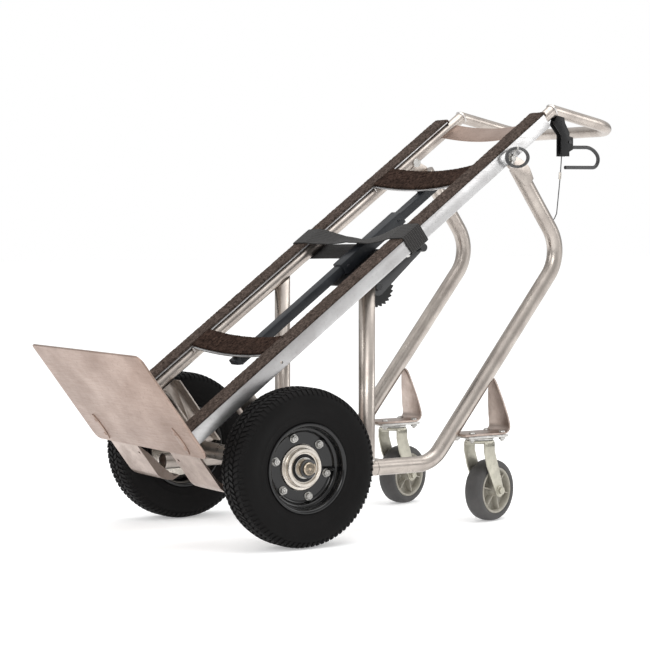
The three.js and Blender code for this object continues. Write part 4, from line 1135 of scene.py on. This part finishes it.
# Axle with its spacers and end clips
axleLook = {"clipInner": 12.9, "clipOuter": 18.4, "clipGap": 34, "clipThick": 1.7, "clipAt": 282.8}
axleHalf = [(12.7, 267.6), (17, 267.6), (17.4, 268), (17.4, 274.6), (16.8, 275), (17.4, 275.4),
            (17.4, 282.2),
            (17, 282.6), (12.7, 282.6), (12.7, 286), (12.2, 287.5), (10.6, 289), (3, 289), (2, 287.6),
            (0, 287)]
axleProfile = [(r, -x) for r, x in reversed(axleHalf)] + axleHalf
axleModel = turned("axle_skin", axleProfile, 48, Matrix.Translation(fromAxle(0, 0, axleHeight)))
wearing(axleModel, "chassis", "axleEnd", ["axle"])


# Open spring clip: a flat ring with a gap
def springClip(side):
    gap, thick = axleLook["clipGap"], axleLook["clipThick"]
    sweep = 360 - 2 * gap
    outline = arcPoints((0, 0), axleLook["clipOuter"], gap, sweep, 24)
    outline += arcPoints((0, 0), axleLook["clipInner"], 360 - gap, -sweep, 24)
    near = axleLook["clipAt"] if side > 0 else -axleLook["clipAt"] - thick
    place = Matrix.Translation(fromAxle(0, 0, axleHeight))
    return slab("axle_clip", inYZ(near, outline), (thick * mm, 0, 0), 0.3, place)


for tag, side in sides:
    clip = springClip(side)
    clip.name = f"axle_clip_{tag}"
    wearing(clip, "chassis", "darkSteel")
print("axle ready")

# Column, sleeve and keeper
columnLook = {"half": 12.7, "front": -28.5, "back": -47.5, "low": 262, "high": 886}
columnHalf = columnLook["half"]
column = block("column_skin", (-columnHalf, columnLook["low"], columnLook["back"]),
               (columnHalf, columnLook["high"], columnLook["front"]), 2.4, railMatrix)
footLow = block("column_foot", (-11, 262, -29), (11, 302, -21.6), 0.8, railMatrix)
footHigh = block("column_foot", (-11, 830, -29), (11, 880, -21.6), 0.8, railMatrix)
columnTip = slab("column_tip", inYZ(-columnHalf,
                                    [(250, -28.5), (264, -28.5), (264, -47.5), (262, -47.5), (250, -39.5)]),
                 (2 * columnHalf * mm, 0, 0), 1.6, railMatrix)
wearing(joinPieces([column, footLow, footHigh, columnTip], "column_skin"), "chassis", "column",
        ["column"])

sleeveLook = {"half": 16.8, "low": 568, "high": 755, "front": -24.5, "back": -51.5, "boreHalf": 13.05,
              "boreFront": -28.15, "boreBack": -47.85}
sleeve = block("strap_sleeve_skin", (-sleeveLook["half"], sleeveLook["low"], sleeveLook["back"]),
               (sleeveLook["half"], sleeveLook["high"], sleeveLook["front"]), 2.6)
bore = block("bore", (-sleeveLook["boreHalf"], sleeveLook["low"] - 5, sleeveLook["boreBack"]),
             (sleeveLook["boreHalf"], sleeveLook["high"] + 5, sleeveLook["boreFront"]), 0)
cutWith(sleeve, bore)
sleeveParts = [settle(sleeve, "strap_sleeve_skin", railMatrix)]
for u in (sleeveLook["low"] + 14, sleeveLook["high"] - 14):
    for x in (-1, 1):
        screw = turned("sleeve_screw", [(0, 0), (3.6, 0), (3.6, 1), (2.8, 1.9), (1.4, 2), (1.2, 1.2),
                                        (0, 1.2)], 16,
                       railMatrix @ along((x, 0, 0), (x * 16.6 * mm, u * mm, -38 * mm)))
        sleeveParts.append(screw)
wearing(joinPieces(sleeveParts, "strap_sleeve_skin"), "strap_carriage", "column",
        ["strap_sleeve"])
keeper = joinPieces([block("keeper", (-148, 858, -34), (-112, 882, -26), 1.6, railMatrix),
                     block("keeper", (-136, 862, -27), (-124, 878, -13.6), 1.0, railMatrix)],
                     "strap_keeper_skin")
wearing(keeper, "chassis", "blackSteel", ["strap_keeper"])

# Ratchet on the sleeve
ratchetLook = {"u": 561, "v": -74.5, "teeth": 24, "tip": 42, "root": 37, "back": -51.8}
spoolU, spoolV = ratchetLook["u"], ratchetLook["v"]
earShape = [(535, -54.8), (590, -54.8), (582, spoolV - 14), (577, spoolV - 20), (570, spoolV - 24),
            (552, spoolV - 24), (545, spoolV - 20), (540, spoolV - 14)]
framePlate = block("ratchet_frame", (-16, 535, -55.8), (108, 660, ratchetLook["back"]), 1.0)
window = block("window", (30, spoolU - 15.5, -60), (100, spoolU + 15.5, -48), 0)
cutWith(framePlate, window)
frameParts = [settle(framePlate, "ratchet_frame_skin", railMatrix)]
for x in (24, 104.5):
    ear = slab("ratchet_ear", inYZ(x, earShape), (3.5 * mm, 0, 0), 0.7)
    hole = roundBar("hole", ((x - 5) * mm, spoolU * mm, spoolV * mm),
                    ((x + 9) * mm, spoolU * mm, spoolV * mm),
                    8.5, 28, 0.1)
    cutWith(ear, hole)
    frameParts.append(settle(ear, "ratchet_ear", railMatrix))
wearing(joinPieces(frameParts, "ratchet_frame_skin"), "strap_carriage", "blackSteel",
        ["ratchet_frame"])

spoolPlace = railMatrix @ shift(0, spoolU, spoolV)
toothShape = []
for k in range(ratchetLook["teeth"]):
    step = 2 * math.pi / ratchetLook["teeth"]
    for share, reach in ((0.0, ratchetLook["root"]), (0.72, ratchetLook["tip"]),
                         (0.86, ratchetLook["tip"])):
        angle = step * (k + share)
        toothShape.append((reach * math.cos(angle), reach * math.sin(angle)))
disc = slab("ratchet_disc", inYZ(109, toothShape), (6 * mm, 0, 0), 0.4, spoolPlace)
shaft = turned("ratchet_shaft", [(0, 18), (7.4, 18), (8, 18.6), (8, 28.4), (12.6, 28.4), (13, 29),
                                 (13, 103),
                                 (12.6, 103.6), (8, 103.6), (8, 109.5), (0, 109.5)], 36, spoolPlace)
wearing(joinPieces([disc, shaft], "ratchet_spool_skin"), "ratchet_reel", "blackSteel",
        ["ratchet_spool"])

knobU, knobV = 692, -71
leverShape = arcPoints((spoolU, spoolV), 18, 90, 180, 12) + arcPoints((knobU, knobV), 10, -90, 180, 12)
arm = slab("ratchet_lever_skin", inYZ(116, leverShape), (4.5 * mm, 0, 0), 1.0, railMatrix)
knob = turned("lever_knob", [(0, 116), (8, 116), (9, 117), (9, 136), (8, 138), (0, 138)], 32,
              railMatrix @ shift(0, knobU, knobV))
boss = turned("lever_boss", [(0, 119), (9, 119), (9, 125), (8, 126), (0, 126)], 6, spoolPlace, smooth=20)
wearing(joinPieces([arm, knob, boss], "ratchet_lever_skin"), "ratchet_arm", "coated",
        ["ratchet_lever"])
print("column, sleeve and ratchet ready")

# Strap: a ribbon round both rails, twisted a little where it crosses the middle
strapLook = {"thick": 2.1, "low": 616, "high": 665, "across": 12, "fold": 1.1}
strapLine = [(-18, -44), (-100, -41.5), (-186, -39.8), (-194.5, -39.4), (-197.8, -37.4), (-198.6, -34),
             (-198.6, -1.2), (-197.2, 1.4), (-193, 2), (-150, 1.9), (-125, -3), (-70, -13), (0, -17),
             (70, -13),
             (125, -3), (150, 1.9), (193, 2), (197.2, 1.4), (198.6, -1.2), (198.6, -34), (197.8, -37.4),
             (194.5, -39.4), (186, -39.8), (153, -40.2)]


def fineLine(points, step):
    fine = []
    for a, b in zip(points[:-1], points[1:]):
        count = max(1, round(math.dist(a, b) / step))
        fine += [(a[0] + (b[0] - a[0]) * k / count, a[1] + (b[1] - a[1]) * k / count) for k in range(count)]
    return fine + [points[-1]]


def strapPlace(x, v, share):
    u = strapLook["low"] + (strapLook["high"] - strapLook["low"]) * share
    front = v > -38
    lean = 0.055 * x if front else 0.055 * math.copysign(190, x)
    back = (190 + x) * 0.06 if v < -38 and x < 0 else 0
    twist = max(0.0, 1 - abs(x + 10) / 130) if front and abs(x) < 145 else 0.0
    off = (share - 0.5) * (strapLook["high"] - strapLook["low"])
    swing = math.radians(38) * twist
    middle = u - off
    crease = strapLook["fold"] * math.sin(3.2 * share * math.pi + x * 0.05) * twist
    return railMatrix @ Vector((x * mm, (middle + off * math.cos(swing) + lean + back) * mm,
                                (v - off * math.sin(swing) * 0.8 + crease) * mm))


strapSteps = fineLine(strapLine, 4)
clearSelection()
bpy.ops.mesh.primitive_grid_add(x_subdivisions=len(strapSteps) - 1, y_subdivisions=strapLook["across"],
                                size=1)
strap = bpy.context.object
lengths = [0.0]
for a, b in zip(strapSteps[:-1], strapSteps[1:]):
    lengths.append(lengths[-1] + math.dist(a, b) * mm)
columns = len(strapSteps)
strapWide = (strapLook["high"] - strapLook["low"]) * mm
for index, vertex in enumerate(strap.data.vertices):
    row, slot = divmod(index, columns)
    x, v = strapSteps[slot]
    vertex.co = strapPlace(x, v, row / strapLook["across"])
for loop in strap.data.loops:
    row, slot = divmod(loop.vertex_index, columns)
    strap.data.uv_layers[0].data[loop.index].uv = (lengths[slot], row / strapLook["across"] * strapWide)
rightWay(strap)
thicken = strap.modifiers.new("thicken", "SOLIDIFY")
thicken.thickness = strapLook["thick"] * mm
thicken.offset = 0
bpy.ops.object.modifier_apply(modifier="thicken")
settle(strap, "strap_skin", None, 50)
wearing(strap, "strap_carriage", "webbing", ["strap"])

hook = joinPieces([
    block("hook", (136, 628, -42), (152.5, 674, -38.4), 0.8, railMatrix),
    slab("hook_tongue", inYZ(136, [(640, -40), (662, -40), (660, -58), (656, -62), (651, -64), (646, -62),
                                   (642, -58)]), (3.4 * mm, 0, 0), 0.7, railMatrix)], "strap_hook_skin")
wearing(hook, "strap_carriage", "zinc", ["strap_hook"])
print("strap and hook ready")

# Release bracket, lever, ferrule and cable
releaseLook = {"x": 164, "y": 728, "z": 802, "wire": 4}
leverX, leverY, leverZ = releaseLook["x"], releaseLook["y"], releaseLook["z"]
hangerShape = [(686, 838), (693, 860), (711, 860), (715, 842), (727, 822), (727, 814), (737, 812),
               (737, 786),
               (727, 781), (727, 771), (705, 771), (705, 816)]
hangers = [slab("hanger", inYZ(x, hangerShape), (3.2 * mm, 0, 0), 0.6, axleShift) for x in (155, 169.8)]
hangers.append(block("hanger_web", (155, 690, 838), (173, 706, 846), 0.6, axleShift))
hanger = joinPieces(hangers, "release_bracket_skin")
wearing(hanger, "chassis", "blackSteel", ["release_bracket"])
loopCorners = [fromAxle(leverX, y, z) for y, z in
               ((leverY, leverZ), (741, 791), (796, 792), (818, 768), (806, 748.5), (722, 747.5))]
loop = bentTube("release_lever_skin", loopCorners, [8, 40, 18, 14], releaseLook["wire"], 20, 10)
hinge = roundBar("lever_hinge", fromAxle(153, leverY, leverZ), fromAxle(175, leverY, leverZ), 4, 24)
barrel = roundBar("lever_barrel", fromAxle(158.8, leverY, leverZ), fromAxle(169.2, leverY, leverZ), 7.5, 28)
blade = slab("lever_blade", inYZ(161.5, [(722, 806), (733, 800), (720, 773), (711, 776)]),
             (5 * mm, 0, 0), 0.7,
             axleShift)
wearing(joinPieces([loop, hinge, barrel, blade], "release_lever_skin"), "release_hand_lever", "coated",
        ["release_lever"])
ferrule = roundBar("cable_ferrule", fromAxle(164.5, 708.6, 737), fromAxle(165, 707, 722), 2.9, 20)
wearing(ferrule, "chassis", "machined")
cableLook = {"radius": 1.3, "lay": 2.4}
cableRoute = [(164, 712.5, 772), (164.5, 710.4, 750), (165, 708, 726), (165, 705, 700), (165, 702, 674),
              (165, 699, 649), (165, 693, 638), (165, 684, 630.6), (165, 676, 612)]
cable = weldBead("release_cable_skin", [fromAxle(*point) for point in cableRoute], cableLook["radius"],
                 cableLook["lay"])
paint(cable, finish["darkSteel"])
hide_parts("release_cable")
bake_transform(cable)
print("release gear ready")

# Struts, pivot pins and welds
strutModel = block("axle_strut_skin_r", (131, 145, -198), (161, 185, -37.4), 1.2)
cutWith(strutModel, block("hollow", (128, 148.5, -210), (158, 181.5, -20), 0))
settle(strutModel, "axle_strut_skin_r", railMatrix)
cutWith(strutModel, roundBar("bore", fromAxle(110, 0, axleHeight), fromAxle(180, 0, axleHeight), 17.0,
                             36, 0.1))
wearBoth(strutModel, "chassis", "pipe", "axle_strut")

pinLook = {"shank": 2.6, "lean": 0.26, "reach": 22.2, "ringAlong": 28, "ringAcross": 19.5, "wire": 2.9}
lean, reach = pinLook["lean"], pinLook["reach"]
collarY, collarZ = pivotY + reach * math.sin(lean), pivotZ + reach * math.cos(lean)
for tag, side in sides:
    pinPlace = Matrix.Translation(fromAxle(0, pivotY, pivotZ)) @ Matrix.Scale(side, 4, (1, 0, 0))
    body = turned("pivot_pin_skin", [(0, 147.5), (9, 147.5), (9.5, 148), (9.5, 150.6), (6, 150.8),
                                     (6, 196.8),
                                     (9.2, 196.8), (9.5, 197.2), (9.5, 198.8), (6, 198.8), (6, 204.6),
                                     (5.2, 205.4), (0, 205.4)], 32, pinPlace)
    lower = fromAxle(202.5 * side, pivotY - 20 * math.sin(lean), pivotZ - 20 * math.cos(lean))
    upper = fromAxle(202.5 * side, collarY, collarZ)
    shank = roundBar("shank", lower, upper, pinLook["shank"], 20)
    knob = turned("knob", [(0, -4.6), (2.6, -3.8), (4.2, -1.8), (4.6, 0), (4.2, 1.8), (2.6, 3.8),
                           (0, 4.6)], 24,
                  Matrix.Translation(fromAxle(207.2 * side, collarY, collarZ)))
    pinSkin = joinPieces([body, shank, knob], f"pivot_pin_skin_{tag}")
    rightWay(pinSkin)
    settle(pinSkin, f"pivot_pin_skin_{tag}")
    wearing(pinSkin, "chassis", "zinc", [f"pivot_pin_{tag}"])
    clearSelection()
    bpy.ops.mesh.primitive_torus_add(major_segments=64, minor_segments=14,
                                     major_radius=pinLook["ringAcross"] * mm,
                                     minor_radius=pinLook["wire"] * mm, rotation=(0, math.pi / 2, 0))
    ringSkin = bpy.context.object
    bpy.ops.object.transform_apply(location=False, rotation=True, scale=False)
    for vertex in ringSkin.data.vertices:
        vertex.co.y *= pinLook["ringAlong"] / pinLook["ringAcross"]
    settle(ringSkin, f"pin_ring_skin_{tag}",
           Matrix.Translation(fromAxle(208.2 * side, collarY, collarZ - pinLook["ringAcross"])))
    wearing(ringSkin, f"snap_ring_{tag}", "darkSteel", [f"pin_ring_{tag}"])

beads = []
for tag, side in sides:
    beads.append(weldBead("weld", ringPlaces(fromAxle(pipeX * side, pipeLook["post"], floorTube + 17),
                                             (0, 0, 1), 17.0, 30), 2.3, 3.2, True))
    beads.append(weldBead("weld", ringPlaces(onRail(railLook["tubeX"] * side, 1117, railLook["tubeV"]),
                                             alongRail, 13.2, 26), 2.6, 3.2, True))
    beads.append(weldBead("weld", ringPlaces(onRail(railLook["tubeX"] * side, 6, railLook["tubeV"]),
                                             alongRail, 13.2, 24), 2.2, 3.2, True))
    for u in (254, 310, 823, 888):
        beads.append(weldBead("weld", [onRail(151.6 * side, u + 1, -8.5),
                                       onRail(151.6 * side, u + 1, -20)], 2.0))
welds = joinPieces(beads, "weld_beads")
wearing(welds, "chassis", "weld")
print("struts and welds ready")
